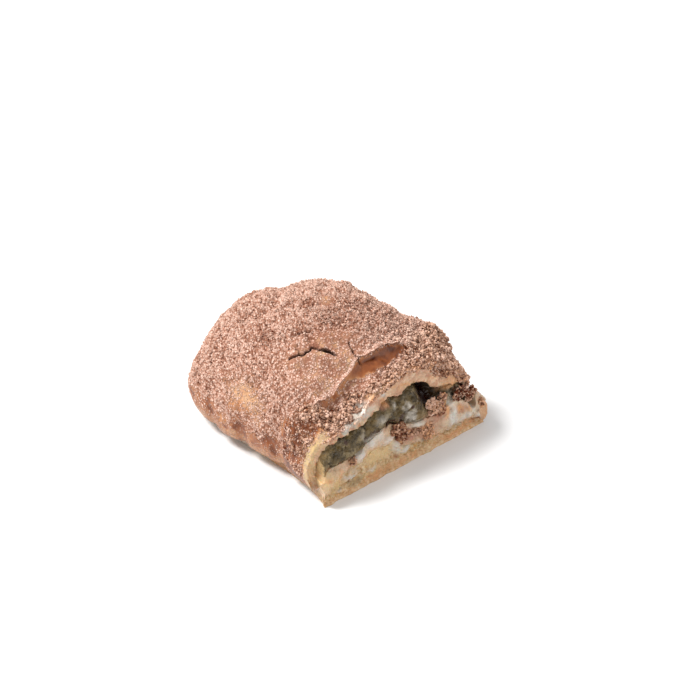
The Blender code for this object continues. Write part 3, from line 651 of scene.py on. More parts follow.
def strew(draw, solid, centres, radii, uneven, flat):
    """Points and faces of many copies of a solid. Each has its corners moved in and out, is
    flattened by up to a share, and is turned by a random unit quaternion."""
    corners, triangles = solid
    count = len(centres)
    w, x, y, z = (q := draw.normal(size=(4, count))) / np.linalg.norm(q, axis=0)
    turn = np.stack((1 - 2 * (y * y + z * z), 2 * (x * y - w * z), 2 * (x * z + w * y),
                     2 * (x * y + w * z), 1 - 2 * (x * x + z * z), 2 * (y * z - w * x),
                     2 * (x * z - w * y), 2 * (y * z + w * x), 1 - 2 * (x * x + y * y)), -1)
    shape = corners * (1 + uneven * draw.uniform(-1, 1, (count, len(corners), 1)))
    shape = shape * (1.25 - flat * draw.uniform(0, 1.4, (count, 1, 3)))
    shape = np.einsum("nij,nkj->nki", turn.reshape(-1, 3, 3), shape) * radii[:, None, None]
    points = (centres[:, None] + shape).reshape(-1, 3)
    faces = (triangles[None] + len(corners) * np.arange(count)[:, None, None]).reshape(-1, 3)
    return points, faces


def each_corner(numbers, solid):
    """Repeats one number per copy for every corner of the copy."""
    return np.repeat(numbers, len(solid[0]))


# ---------------------------------------------------------------- the crust
def crust_shares(u, v):
    """Shares (s, t) of the crust at (u, v)."""
    return across_share(u, *hem_ends(v)), depth_share(v, 1)


def plain_skin(u, v):
    """Outside of the crust at (u, v) with no relief at all."""
    return skin(*crust_shares(u, v), 0)


def relief_share(s, t):
    """0 at the hem and 1 where relief has its full depth."""
    return np.clip((dome(s, t) - HEM_HEIGHT) / RELIEF_RISE, 0, 1)


def crust_zones(u, v):
    """How coarse the cocoa is, how bare the leaf is, how toasted (with the notches by the hem toasted
    dark as painted shade), how cracked, how dark the cocoa lies and how well grains hold, 0 to 1."""
    s, t = crust_shares(u, v)
    point = plain_skin(u, v)
    x, y, z = np.moveaxis(point, -1, 0)
    flat_y = plan_y(s, t, CUT_HEIGHT)
    ahead = torn_front(x, flat_y)
    patches = rough_noise(point, 3.2 * MM, 41)
    fine_patches = rough_noise(point, 1.3 * MM, 47)

    in_band = np.interp(x / MM, *BAND_EDGE) * MM - flat_y
    band = step_up(in_band + 0.5 * MM * fine_patches, 0.35 * MM)
    thin_leaf = (step_up(-flat_y - 9.6 * MM - 0.25 * x, 0.7 * MM) * step_up(-4 * MM - x, 1.2 * MM)
                 * step_up(x + 22 * MM, 1.5 * MM) * (1 - band))
    coarseness = np.clip(0.38 + 0.25 * step_up(x - 3 * MM, 4 * MM) + 0.7 * band
                         - 0.5 * thin_leaf - 0.2 * step_up(-s - 0.86, 0.05)
                         + 0.16 * patches, 0, 1)

    width = np.interp(x / MM, *GLOSSY_WIDTHS) * MM
    glossy = (step_up(ahead - 0.05 * MM, 0.06 * MM)
              * step_up(width + 0.5 * MM * fine_patches - ahead, 0.14 * MM))
    beside = step_up(-s - 0.8, 0.03)
    bare = thin_leaf * np.clip(0.3 + 0.35 * fine_patches, 0, 1)
    toast = 0.34 + 0.1 * patches - 0.14 * thin_leaf
    for py, pz, half_y, half_z, bareness, toasting in LEFT_PATCHES:
        near = beside * bell(np.hypot((y / MM - py) / half_y, (z / MM - pz) / half_z), 1.0)
        near = np.clip(1.3 * near * (1 + 0.6 * fine_patches), 0, 1)
        bare = np.maximum(bare, bareness * near)
        toast = toast + (toasting + 0.15 * fine_patches - toast) * near
    notch = np.clip(1.4 * beside * sum(bell(np.hypot((y / MM - py) / half_y,
                                                     (z / MM - pz) / half_z), 1.0)
                                       for py, pz, half_y, half_z in NOTCHES)
                    * (1 + 0.6 * fine_patches), 0, 1)
    hem = step_up(7.4 * MM + 2.2 * MM * patches - z, 0.8 * MM)
    bare = np.maximum(bare, hem * (0.85 + 0.4 * fine_patches))
    toast = toast + (0.47 + 0.4 * fine_patches - toast) * hem * 0.85
    # Painted shade: the notches are dented and their leaf taken to a dark toast, as shade in the
    # folds.
    bare = np.maximum(bare, notch)
    toast = toast + (0.86 - toast) * notch
    bare = np.maximum(bare, band * np.clip(0.68 + 0.5 * fine_patches, 0, 0.95))
    toast = toast + (0.76 + 0.25 * fine_patches - toast) * band
    rim = bell(v, 0.012)
    toast = toast + (0.42 - toast) * rim
    spot = bell(np.hypot(x + 1.7 * MM, y - 1.7 * MM), 1.5 * MM)
    flap = bell(np.hypot((x + 13.3 * MM) / 1.1, (flat_y + 11.3 * MM) / 0.6), 0.9 * MM)
    bare = np.maximum(bare, 0.6 * spot + 0.8 * flap)
    toast = toast + (0.3 * spot + 0.12 * flap - toast) * np.maximum(spot, flap)
    inside = (t + 1) * (CREST_Y - CUT_Y)
    width = np.interp(x / MM, *RIM_WIDTHS) * MM * (1 + 0.9 * fine_patches)
    rim_strip = step_up(width - inside, 0.12 * MM)
    bare = np.maximum(bare, rim_strip)
    toast = toast + (0.18 + 0.3 * fine_patches - toast) * rim_strip
    corner = (step_up(-x - 20.5 * MM, 1.0 * MM)
              * step_up(1.9 * MM * (1 + 0.5 * patches) - inside, 0.25 * MM))
    bare = np.maximum(bare, corner)
    toast = toast + (0.04 + 0.12 * fine_patches - toast) * corner
    bare = bare + (1 - bare) * glossy
    toast = toast + (0.66 + 0.24 * step_up(x + 3.4 * MM, 1.4 * MM) + 0.14 * fine_patches
                     + 0.1 * patches - toast) * glossy

    jag = 0.34 * MM * soft_noise(point, 0.75 * MM, 53)
    crack = sum(depth * bell(line_distance(x + jag, flat_y - jag, np.array(corners) * MM),
                             spread * MM) for corners, spread, depth in CRACKS)
    darker = sum(bell(np.hypot(x / MM - px, flat_y / MM - py), spread)
                 for px, py, spread in DARKER) * (0.6 + 0.5 * patches)
    grip = ((1 - 0.98 * glossy) * (1 - 0.85 * hem) * (1 - 0.8 * spot) * (1 - 0.95 * corner)
            * (1 - 0.75 * thin_leaf) * (1 - 0.97 * rim_strip))
    grip = grip * np.where(z < 20 * MM, 1 - 0.88 * np.clip(bare * beside, 0, 1), 1)
    return {"coarseness": coarseness, "bare": np.clip(bare, 0, 1), "toast": np.clip(toast, 0, 1),
            "crack": crack, "darker": np.clip(darker, 0, 1), "grip": np.clip(grip, 0, 1),
            "glossy": glossy, "band": band, "notch": notch}


def crust_grain(point, zones, depth):
    """Height of the grain in metres and as a share: flakes of three sizes and rough noise, less
    where the leaf is bare, minus the cracks."""
    rough, grip = zones["coarseness"], zones["grip"]
    large = flakes(point, 1.5 * MM, 3)
    middle = flakes(point, 0.85 * MM, 7)
    small = flakes(point, 0.5 * MM, 11)
    share = np.clip((0.8 * rough * large + (0.5 + 0.3 * rough) * middle + 0.45 * small)
                    / (0.75 + 0.9 * rough), 0, 1)
    stretched = point * np.array([1.0, 1.0, 0.4])
    waves = (0.28 * rough_noise(point, 3.4 * MM, 13) + 0.10 * soft_noise(stretched, 1.1 * MM, 17)
             - 0.5 * np.clip(0.3 - np.abs(soft_noise(point, 2.3 * MM, 19)), 0, 1) * grip)
    height = ((rough * 0.8 * large + (0.32 + 0.34 * rough) * middle + 0.28 * small - 0.47)
              * depth * (0.12 + 0.88 * grip) + waves * (1 - 0.55 * zones["glossy"]))
    return (height - zones["crack"] - 0.5 * zones["notch"]) * MM, share


def dressed_skin(u, v, depth):
    """Outside of the crust with its rumples, torn step and grain."""
    s, t = crust_shares(u, v)
    share = relief_share(s, t)
    plain = plain_skin(u, v)
    zones = crust_zones(u, v)
    point = skin(s, t, (rumple(s, t) - torn_step(s, t)) * share)
    normal = normals_of(plain_skin, u, v)
    grain, height = crust_grain(plain, zones, depth)
    # The grain's height is kept for the colours too, which are painted darker low in it as shade.
    zones["height"] = 0.35 + (height - 0.35) * np.maximum(zones["grip"], zones["band"])
    return point + normal * (grain * (0.25 + 0.75 * share))[..., None], normal, zones


def crust_steps():
    """Shares v of the rows of the crust: closest at the cut and the cracks."""
    stops, counts = (0, 0.2, 0.34, 0.5, 1), (68, 40, 28, 124)
    runs = [np.linspace(a, b, n + 1)[:-1] for a, b, n in zip(stops[:-1], stops[1:], counts)]
    return np.concatenate(runs + [[1.0]])


def stained(points, kinds=tuple(STAINS)):
    """How much of each stain a point near the cut has: the strongest of its blots, each a
    warped bell in (x, z) with ragged edges, fading inside the slice."""
    x, y, z = points.T / MM
    ragged = rough_noise(points, 1.9 * MM, 151)
    x = x + 0.8 * soft_noise(points, 2.2 * MM, 157) + 0.3 * soft_noise(points, 0.7 * MM, 163)
    z = z + 0.5 * soft_noise(points, 1.8 * MM, 167) + 0.3 * soft_noise(points, 0.7 * MM, 173)
    near = bell(np.clip(y - (CUT_Y + CUT_LEAN * points[:, 2]) / MM - 1.2, 0, None), 2.5)
    masks = {}
    for kind in kinds:
        blots = [strength * bell(np.hypot((x - px) / half_x, (z - pz) / half_z), 1.0)
                 for px, pz, half_x, half_z, strength in STAINS[kind]]
        most = np.max(blots, axis=0) * (1 + 0.5 * ragged)
        masks[kind] = np.clip(1.5 * most - 0.25, 0, 1) * near
    return masks


def side_stains(points, share, stains):
    """Stains with blotches added where a side counts by its share, in soft noise of 3 mm."""
    for index, (kind, most) in enumerate((("pink", 0.7), ("orange", 0.8), ("milk", 0.9))):
        blotch = rough_noise(points * [1, 1, 0.6], 3 * MM, 301 + index)
        stains[kind] = np.maximum(stains[kind], most * share * np.clip(3 * blotch - 0.6, 0, 1))
    return stains


def build_crust(settings):
    """The crust: a shell whose outside is the dressed skin and whose inside is the lining."""
    rows = crust_steps()
    columns, levels = 336, 14
    steps, faces, side_of = box_shell(columns, len(rows) - 1, levels, hidden="under")
    u, v, w = steps[:, 0] / columns, rows[steps[:, 1]], steps[:, 2] / levels
    outer, _, zones = dressed_skin(u, v, settings.grain_depth)
    s, t = crust_shares(u, v)
    inner = lining(s, t)
    at_cut = np.exp(-v / CUT_RELIEF_REACH)
    inner[:, 0] += 1.3 * MM * np.clip(-s, 0, 1) ** 6 * at_cut
    along = inner * [1.0, 0.2, 0.2]
    wander = 0.65 * rough_noise(along, 2.4 * MM, 61) + 0.4 * soft_noise(along, 0.9 * MM, 63)
    inner[:, 2] += MM * wander * at_cut
    points = inner + (outer - inner) * w[:, None]
    stains = stained(points)
    leaves = np.sin(2 * np.pi * (4.5 * w + 0.9 * soft_noise(points * [0.3, 1, 1], 2 * MM, 67)))
    crumbly = rough_noise(points, 1.5 * MM, 71)
    middle = np.sin(np.pi * w) ** 0.5
    ragged = rough_noise(outer * [1.0, 0.2, 0.2], 1.7 * MM, 73)
    points[:, 1] += (0.12 * leaves * middle + 0.6 * crumbly * (1 - 0.4 * w)
                     + 0.6 * ragged * w ** 3) * MM * at_cut
    # shade is painted shade along the cracks of the outside.
    values = {"dust": 1 - zones["bare"] - 0.5 * zones["glossy"], "toast": zones["toast"], "layer": w,
              "height": zones["height"], "darker": zones["darker"],
              "shade": np.clip(zones["crack"] * 1.6 - 0.3, 0, 1) * (w > 0.99), **stains}
    material_of = np.where(side_of == SIDES.index("cut"), 1,
                           np.where(side_of == SIDES.index("under"), 2, 0))
    return add_piece("cocoa_crust", points, faces,
                     [cocoa_leaf(settings), cut_pastry(), lining_painted_shade()],
                     "top_crust", values, material_of)


def leaf_plan(a, b):
    """Plan of the torn leaf: a runs along the torn edge and b a short way back from it."""
    x = TORN_ENDS[0] - 1.2 * MM + a * (TORN_ENDS[1] - TORN_ENDS[0] + 2.0 * MM)
    along = np.stack((x, 0 * x, 0 * x), -1)
    ragged = (0.26 * soft_noise(along, 2.3 * MM, 83) + 0.16 * soft_noise(along, 0.8 * MM, 89)) * MM
    edge_y = np.interp(x, *np.transpose(TORN_EDGE)) - 0.35 * MM + ragged
    return x, edge_y + b * LEAF_REACH, along


def leaf_place(a, b):
    """Top of the torn leaf. It follows the crust, stands clear at the edge, splits at the crack
    that reaches it, and sinks under the crust at the back and at both ends."""
    x, y, along = leaf_plan(a, b)
    s = (x - CREST_X) / np.where(x < CREST_X, CREST_X - LEFT_X, RIGHT_X - CREST_X)
    t = (y - CREST_Y) / (CREST_Y - (CUT_Y + CUT_LEAN * CUT_HEIGHT))
    curl = (0.32 + 0.2 * soft_noise(along, 4 * MM, 97)) * np.exp(-b / 0.5)
    sink = 0.75 * (1 - np.clip(np.minimum(a, 1 - a) / 0.06, 0, 1)) + 0.9 * b ** 1.5
    split = 1.1 * bell(line_distance(x, y, np.array(CRACKS[3][0]) * MM), 0.17 * MM)
    raised = rumple(s, t) * relief_share(s, t) + (curl - sink - split + 0.05) * MM
    return skin(s, t, raised)


def build_torn_leaf(settings):
    """The thin top leaf along its torn edge: the leaf surface and the same sunk by its
    thickness, closed all round."""
    columns, rows, levels = 260, 30, 2
    steps, faces, _ = box_shell(columns, rows, levels)
    a, b, w = (steps / [columns, rows, levels]).T
    top = leaf_place(a, b)
    normal = normals_of(leaf_place, a, b)
    height = flakes(top, 0.6 * MM, 101)
    grain = 0.2 * height * np.clip(b * 5, 0.3, 1)
    points = top + normal * ((w * grain - (1 - w) * 0.16 - 0.05) * MM)[:, None]
    x, y, _ = leaf_plan(a, b)
    split = bell(line_distance(x, y, np.array(CRACKS[3][0]) * MM), 0.2 * MM)
    # Painted shade: the leaf is darker low in its grain and along its split.
    values = {"dust": np.clip(0.55 + 3.0 * b, 0, 1) * w, "toast": 0.3 + 0.3 * (1 - w), "layer": w,
              "height": 0.35 + 0.6 * height, "shade": np.clip(1.5 * split - 0.2, 0, 1)}
    return add_piece("torn_leaf", points, faces, [cocoa_leaf(settings)],
                     values=values)


# ---------------------------------------------------------------- layers below the crust
def layer_place(ends, back, low, high, u, v, w):
    """A point of a layer between two height functions of (s, t)."""
    s, t = across_share(u, *ends), depth_share(v, back)
    foot, top = low(s, t), high(s, t)
    z = foot + (top - foot) * w
    y = plan_y(s, t, z)
    x = plan_x(s, t) + side_wave(s, y) + tuck(-s, z)
    return np.stack((x, y, z), -1), s, t


def filling_place(u, v, w):
    """The filling, grown a little into the crust and the cream."""
    grow = 0.45 * MM
    return layer_place(FILLING_ENDS, FILLING_BACK, lambda s, t: filling_foot(s, t) - grow,
                       lambda s, t: filling_top(s, t) + grow + 0.35 * MM * cut_share(t), u, v, w)


def filling_swell(points):
    """How far the filling stands out at the cut: its lobes, soft lumps, chopped nuts and creases
    between them; and how much painted shade a point gets, most deep in a crease, between the lobes
    and low in the lumps."""
    x, z = points[:, 0] / MM, points[:, 2] / MM
    lobes = np.max([out * bell(np.hypot((x - px) / half_x, (z - pz) / half_z), 1.1)
                    for px, pz, half_x, half_z, out in LOBES], axis=0)
    lumps = 0.8 * rough_noise(points, 2.6 * MM, 103, 3)
    warp = 0.7 * MM * soft_noise(points, 1.9 * MM, 113)[..., None]
    nuts = 0.6 * knobs(points + warp, 2.0 * MM, 107) + 0.32 * knobs(points, 0.9 * MM, 109)
    crease = np.clip(1 - np.abs(soft_noise(points + warp, 3.4 * MM, 179)) / 0.16, 0, 1)
    swell = 1.2 * lobes + lumps + nuts - 0.5 * crease - 0.7
    # Painted shade: darkest deep in the creases, between the lobes and low in the lumps.
    return swell * MM, np.clip(0.55 * crease + 0.9 * (0.3 - lobes) - 0.7 * lumps - 0.1, 0, 1)


def build_filling(settings):
    """The pistachio filling, standing out in lumps at the cut."""
    columns, rows, levels = 300, 14, 84
    steps, faces, _ = box_shell(columns, rows, levels, hidden="back", step=2)
    u, v, w = (steps / [columns, rows, levels]).T
    v = v ** 2.2
    points = filling_place(u, v, w)[0]
    swell, seams = filling_swell(points)
    at_cut = np.exp(-v / 0.02)
    # The hollow flattens the lumps, and the paste there is painted near black as its shade.
    hollow = bell(points[:, 0] - CAVITY[0], CAVITY[1]) * np.clip((w - 0.55) / 0.3, 0, 1)
    rounding = 1.1 * MM * (w ** 6 + (1 - w) ** 8)
    stains = stained(points)
    wall = np.exp(-u / 0.006) * (1 - np.exp(-v / 0.004))
    stains["yellow"] = np.maximum(stains["yellow"], wall)
    seams = seams * (1 - wall)
    points[:, 1] += (rounding - swell * settings.lump_height * (1 - 0.6 * hollow)) * at_cut
    values = {"seam": seams * at_cut, "hollow_shade": hollow, **stains}
    return add_piece("pistachio_filling_cut", points, faces, [pistachio_paste(settings)],
                     "pistachio_filling", values)


def cream_place(u, v, w):
    """The cream, grown a little into the filling and the base."""
    def top(s, t):
        return np.minimum(cream_top(s, t) + clearance(s, t) + 0.1 * MM, flank(s, t))
    left, right = CREAM_ENDS
    left = left + (CREAM_LEFT_AT_CUT - left) * np.exp(-v / BASE_LEFT_REACH)
    points, s, t = layer_place((left, right), CREAM_BACK, lambda s, t: base_top(s, t) - 0.3 * MM,
                               top, u, v, w)
    points[:, 0] += CREAM_BULGE * np.sin(np.pi * w) * np.clip(s, 0, 1) ** 12
    return points, s, t


def build_cream(settings):
    """The milk cream: soft folds at the cut and on the right side, and runs that hang down."""
    columns, rows, levels = 300, 96, 56
    steps, faces, _ = box_shell(columns, rows, levels, hidden="back", step=4)
    u, v, w = (steps / [columns, rows, levels]).T
    v = v ** 1.4
    points = cream_place(u, v, w)[0]
    at_cut, at_side = np.exp(-v / 0.02), step_up(points[:, 0] - 22.6 * MM, 0.3 * MM) * w ** 0.3
    at_side = np.maximum(at_side, np.exp(-(1 - u) / 0.03))
    stains = side_stains(points, at_side, stained(points))
    right = step_up(points[:, 0] - 9 * MM, 1.5 * MM) * at_cut
    runs = np.maximum(knobs(points * [1.0, 0.2, 0.22], 1.7 * MM, 127) * right,
                      knobs(points * [0.2, 1.0, 0.22], 2.0 * MM, 129) * at_side)
    folds = rough_noise(points, 3.0 * MM, 131)
    crumbly = rough_noise(points, 1.2 * MM, 133)
    milk = stains["milk"]
    out = (CREAM_BULGE * np.sin(np.pi * w)
           + (0.6 * folds + 0.4 * milk + 0.3 * crumbly * (1 - milk)
              + settings.drip_depth / MM * runs - 0.15) * MM)
    hang = np.clip(1.0 + 1.3 * soft_noise(points * [1.0, 1.0, 0.1], 1.7 * MM, 193), 0, None) * MM
    rounding = (0.9 * w ** 6 + 3.0 * np.clip((v - 0.72) / 0.28, 0, 1) ** 2) * MM
    points[:, 1] -= out * at_cut
    points[:, 0] += (0.8 * out - rounding) * at_side
    points[:, 2] -= (hang * (1 - w) ** 1.5 * np.maximum((0.25 + right) * at_cut, at_side)
                     + (0.6 + 0.7 * folds - 0.5 * runs) * MM * w ** 4 * at_side)
    return add_piece("milk_cream_cut", points, faces, [milk_cream(settings)],
                     "milk_cream", {"runs": runs, **stains})


def base_place(u, v, w):
    """The soaked base, rounded at its upper and lower edges."""
    left = BASE_LEFT + (BASE_LEFT_AT_CUT - BASE_LEFT) * np.exp(-v / BASE_LEFT_REACH)
    s = left + (BASE_RIGHT - left) * (0.5 - 0.5 * np.cos(np.pi * u))
    t = depth_share(v, BASE_BACK)
    z = (base_top(s, t) + 0.15 * MM * np.clip(w, 0, 1)) * w
    rounding = BASE_ROUNDING * (1.5 * (1 - w) ** 3 + w ** 2)
    y = plan_y(s, t * np.where(t > 0, 1 - rounding, 1), z)
    x = plan_x(s * (1 - rounding), t) + side_wave(s, y) + tuck(-s, z)
    return np.stack((x, y, z), -1)


def build_base(settings):
    """The soaked base: thin leaves round all its sides, crumbly at the cut."""
    columns, rows, levels = 300, 90, 36
    steps, faces, _ = box_shell(columns, rows, levels, hidden="under", step=10)
    u, v, w = (steps / [columns, rows, levels]).T
    v = v ** 1.7
    points = base_place(u, v, w)
    aside = np.maximum(np.exp(-(1 - u) / 0.03), np.maximum(np.exp(-u / 0.03) * step_up(v - 0.1, 0.02),
                                                           np.exp(-(1 - v) / 0.03)))
    stains = side_stains(points, 0.8 * aside, stained(points))
    z = points[:, 2]
    wander = 0.5 * MM * soft_noise(points, 4 * MM, 137)
    leaf = np.cos(2 * np.pi * (z + wander) / settings.leaf_height)
    crumbly = rough_noise(points, 1.9 * MM, 139)
    pores = knobs(points, 1.2 * MM, 149)
    flat = np.clip(z / (0.5 * MM), 0, 1)
    relief = (0.08 * leaf + 0.34 * crumbly + 0.3 * pores + 0.3 * stains["milk"] - 0.45
              - 0.5 * w ** 2 * step_up(points[:, 0] - 2 * MM, 2 * MM)) * MM * flat
    foot = 0.3 * MM * (1 + rough_noise(points * [1.0, 0.2, 0.2], 3.4 * MM, 191))
    points[:, 1] += (foot - relief * 1.2) * np.exp(-v / 0.015)
    points[:, 1] += relief * np.exp(-(1 - v) / 0.02)
    points[:, 0] += relief * 0.7 * (np.exp(-(1 - u) / 0.02) - np.exp(-u / 0.02))
    return add_piece("soaked_base", points, faces, [soaked_pastry(settings)],
                     "pastry_base", {"rise": z / MM, **stains})


# ---------------------------------------------------------------- cocoa and crumbs
def crust_spots(draw, count, liking, reach):
    """Random places on the crust up to a share of its depth, even by area times how much grains
    like each zone."""
    u, v = draw.uniform(0.004, 0.996, count * 8), draw.uniform(0.0005, reach, count * 8)
    zones = crust_zones(u, v)
    weight = area_of(plain_skin, u, v) * liking(u, v, zones)
    chosen = draw.choice(len(u), count, replace=False, p=weight / weight.sum())
    return u[chosen], v[chosen]


def crust_strewing(name, settings, seed, solid, count, radius, liking, sunk=0.35, reach=0.99):
    """Strews grains over the crust, each sunk into it by a share of its radius."""
    draw = np.random.default_rng(seed)
    u, v = crust_spots(draw, count, liking, reach)
    place, normal, zones = dressed_skin(u, v, settings.grain_depth)
    low, high = radius
    radii = (low + (high - low) * draw.uniform(0, 1, count) ** 2) * MM
    radii = radii * (0.8 + 0.4 * zones["coarseness"]) * (1 - 0.3 * zones["bare"])
    centres = place + normal * (radii * (0.5 - sunk))[:, None]
    points, faces = strew(draw, solid, centres, radii, 0.4, 0.6)
    # Painted shade: grains low in the crust's grain get a darker tone; the rest of the tone is random
    # or by zone.
    tone = np.clip(draw.normal(0.5, 0.22, count) + 0.16 * zones["coarseness"]
                   - 0.24 * zones["bare"] * (1 - zones["band"])
                   + 1.1 * (zones["height"] - 0.38) - 0.22 * zones["darker"]
                   - 0.16 * zones["band"], 0, 1)
    warmth = np.clip(0.06 + 0.3 * zones["bare"] + zones["band"] * (0.5 - 0.5 * tone)
                     + draw.normal(0, 0.12, count), 0, 1)
    values = {"tone": each_corner(tone, solid), "warmth": each_corner(warmth, solid)}
    return add_piece(name, points, faces.tolist(), [cocoa_grain(settings)],
                     values=values)


def build_powder(settings):
    """Fine cocoa over the crust, thin where the leaf is bare, in two pieces."""
    def fine(u, v, zones):
        return ((0.35 + zones["coarseness"]) * zones["grip"] ** 2 * (1 - 0.85 * zones["bare"]) ** 2
                * (1 - 0.72 * zones["band"]))
    for index, seed in enumerate(POWDER_SEEDS):
        crust_strewing(f"cocoa_powder_{index}", settings, seed, bead(), POWDER_COUNT,
                       POWDER_RADIUS, fine)


def build_grains(settings):
    """Coarser grains of cocoa, thickest where it is coarse, and flakes near the cut."""
    def middling(u, v, zones):
        return (zones["coarseness"] ** 2 + 0.04) * zones["grip"] ** 2
    crust_strewing("cocoa_grains", settings, 227, ball(1), GRAIN_COUNT, GRAIN_RADIUS,
                   middling)

    def front(u, v, zones):
        return step_up(0.2 - v, 0.02) * zones["coarseness"] ** 3 * zones["grip"] ** 2
    crust_strewing("cocoa_flakes", settings, 229, ball(1), FLAKE_COUNT, FLAKE_RADIUS, front,
                   sunk=0.1, reach=0.25)


def rim_spots(draw, settings, count):
    """Places on the upper edge of the crust's cut, where cocoa has spilled over it."""
    u = draw.uniform(0.05, 0.995, count * 4)
    weight = np.interp(plain_skin(u, 0 * u)[:, 0] / MM, *SPILL) ** 1.5
    u = u[draw.choice(len(u), count, replace=False, p=weight / weight.sum())]
    outer = dressed_skin(u, np.zeros(count), settings.grain_depth)[0]
    inner = lining(*crust_shares(u, np.zeros(count)))
    spill = (np.interp(outer[:, 0] / MM, *SPILL)
             * (1 + 0.8 * soft_noise(outer * [1.0, 0.2, 0.2], 2.0 * MM, 181)))
    down = spill * draw.uniform(0, 1, count) ** 1.5
    place = outer + (inner - outer) * down[:, None]
    place[:, 1] -= draw.uniform(0, 0.35, count) * MM
    return place


def build_piles(settings):
    """Cocoa crumbs stuck to the cut face: heaps with their own tone, the shelf of cream on the
    right and the spilled rim."""
    draw = np.random.default_rng(233)
    solid = ball(1)
    centres, radii, tones, warmths = [], [], [], []
    for x, z, half_x, half_z, count, tone, warmth, contrast in PILES:
        angle, away = draw.uniform(0, 2 * np.pi, count), np.sqrt(draw.uniform(0, 1, count))
        lopsided = 1 + 0.2 * np.sin(2 * angle + 9 * x) + 0.14 * np.sin(5 * angle + x)
        px = (x + half_x * away * lopsided * np.cos(angle)) * MM
        pz = (z + half_z * away * lopsided * np.sin(angle)) * MM
        heap = (1 - away ** 2) * draw.uniform(0, 0.9, count) * MM
        py = CUT_Y + CUT_LEAN * pz - 0.35 * MM - heap
        centres.append(np.stack((px, py, pz), -1))
        radii.append((0.16 + 0.3 * draw.uniform(0, 1, count) ** 1.5) * MM)
        tones.append(np.clip(draw.normal(tone, contrast, count), 0, 1))
        warmths.append(np.clip(draw.normal(warmth, 0.2, count), 0, 1))
    count = SHELF_CRUMBS
    u, v = 1 - 0.2 * draw.uniform(0.1, 1, count) ** 0.8, 0.85 * draw.uniform(0, 1, count) ** 1.4
    shelf = cream_place(u, v, 1.0 + 0 * u)[0] + [0, 0, -0.5 * MM]
    centres.append(shelf)
    radii.append(draw.uniform(*SHELF_RADIUS, count) * MM)
    tones.append(np.clip(draw.normal(0.5, 0.3, count), 0, 1))
    warmths.append(np.clip(draw.normal(0.5, 0.25, count), 0, 1))
    count = RIM_CRUMBS
    centres.append(rim_spots(draw, settings, count))
    radii.append(draw.uniform(*RIM_RADIUS, count) * MM)
    tones.append(np.clip(draw.normal(0.62, 0.3, count), 0, 1))
    warmths.append(np.clip(draw.normal(0.5, 0.25, count), 0, 1))
    points, faces = strew(draw, solid, np.concatenate(centres), np.concatenate(radii), 0.4, 0.6)
    values = {"tone": each_corner(np.concatenate(tones), solid),
              "warmth": each_corner(np.concatenate(warmths), solid)}
    return add_piece("cocoa_piles", points, faces.tolist(), [cocoa_grain(settings)],
                     values=values)


# ---------------------------------------------------------------- materials
def tint(red, green, blue):
    """A colour given as it looks, 0 to 255, as linear light with full alpha."""
    share = np.array([red, green, blue]) / 255
    linear = np.where(share <= 0.04045, share / 12.92, ((share + 0.055) / 1.055) ** 2.4)
    return (*[float(part) for part in linear], 1.0)


# The brown tint is both dark cocoa and painted shade on the cut.
STAIN_TINTS = {"olive": tint(136, 112, 76), "yellow": tint(208, 176, 126),
               "pink": tint(166, 112, 84), "orange": tint(204, 148, 98),
               "brown": tint(66, 34, 18), "milk": tint(202, 193, 181)}


def add(tree, kind, values=None, **options):
    """A node with its options set and each input given a value or fed by a socket."""
    made = tree.nodes.new(kind)
    for key, value in options.items():
        setattr(made, key, value)
    for key, value in (values or {}).items():
        if isinstance(value, bpy.types.NodeSocket):
            tree.links.new(value, made.inputs[key])
        else:
            made.inputs[key].default_value = value
    return made


def mixed(tree, share, first, second, kind="MIX"):
    """The colour between two colours at a share."""
    node = add(tree, "ShaderNodeMix", data_type="RGBA", blend_type=kind)
    for index, value in ((0, share), (6, first), (7, second)):
        if isinstance(value, bpy.types.NodeSocket):
            tree.links.new(value, node.inputs[index])
        else:
            node.inputs[index].default_value = value
    return node.outputs[2]


def maths(tree, operation, first, second=0.0, third=0.0, clamp=False):
    """One step of arithmetic."""
    return add(tree, "ShaderNodeMath", {0: first, 1: second, 2: third}, operation=operation,
               use_clamp=clamp).outputs[0]


def spread(tree, value, low, high, to_low=0.0, to_high=1.0):
    """Maps a value from one range to another, held within it."""
    return add(tree, "ShaderNodeMapRange", {"Value": value, "From Min": low, "From Max": high,
                                            "To Min": to_low, "To Max": to_high}).outputs[0]


def attribute(tree, name):
    """A number kept on the points of the piece."""
    return add(tree, "ShaderNodeAttribute", attribute_name=name).outputs["Fac"]


def node_group(name, inputs, outputs):
    """An empty node group with named sockets; inputs are (name, type, default)."""
    group = bpy.data.node_groups.new(name, "ShaderNodeTree")
    for label, kind, default in inputs:
        socket = group.interface.new_socket(label, in_out="INPUT", socket_type=kind)
        socket.default_value = default
    for label, kind in outputs:
        group.interface.new_socket(label, in_out="OUTPUT", socket_type=kind)
    start, end = group.nodes.new("NodeGroupInput"), group.nodes.new("NodeGroupOutput")
    return group, start, end


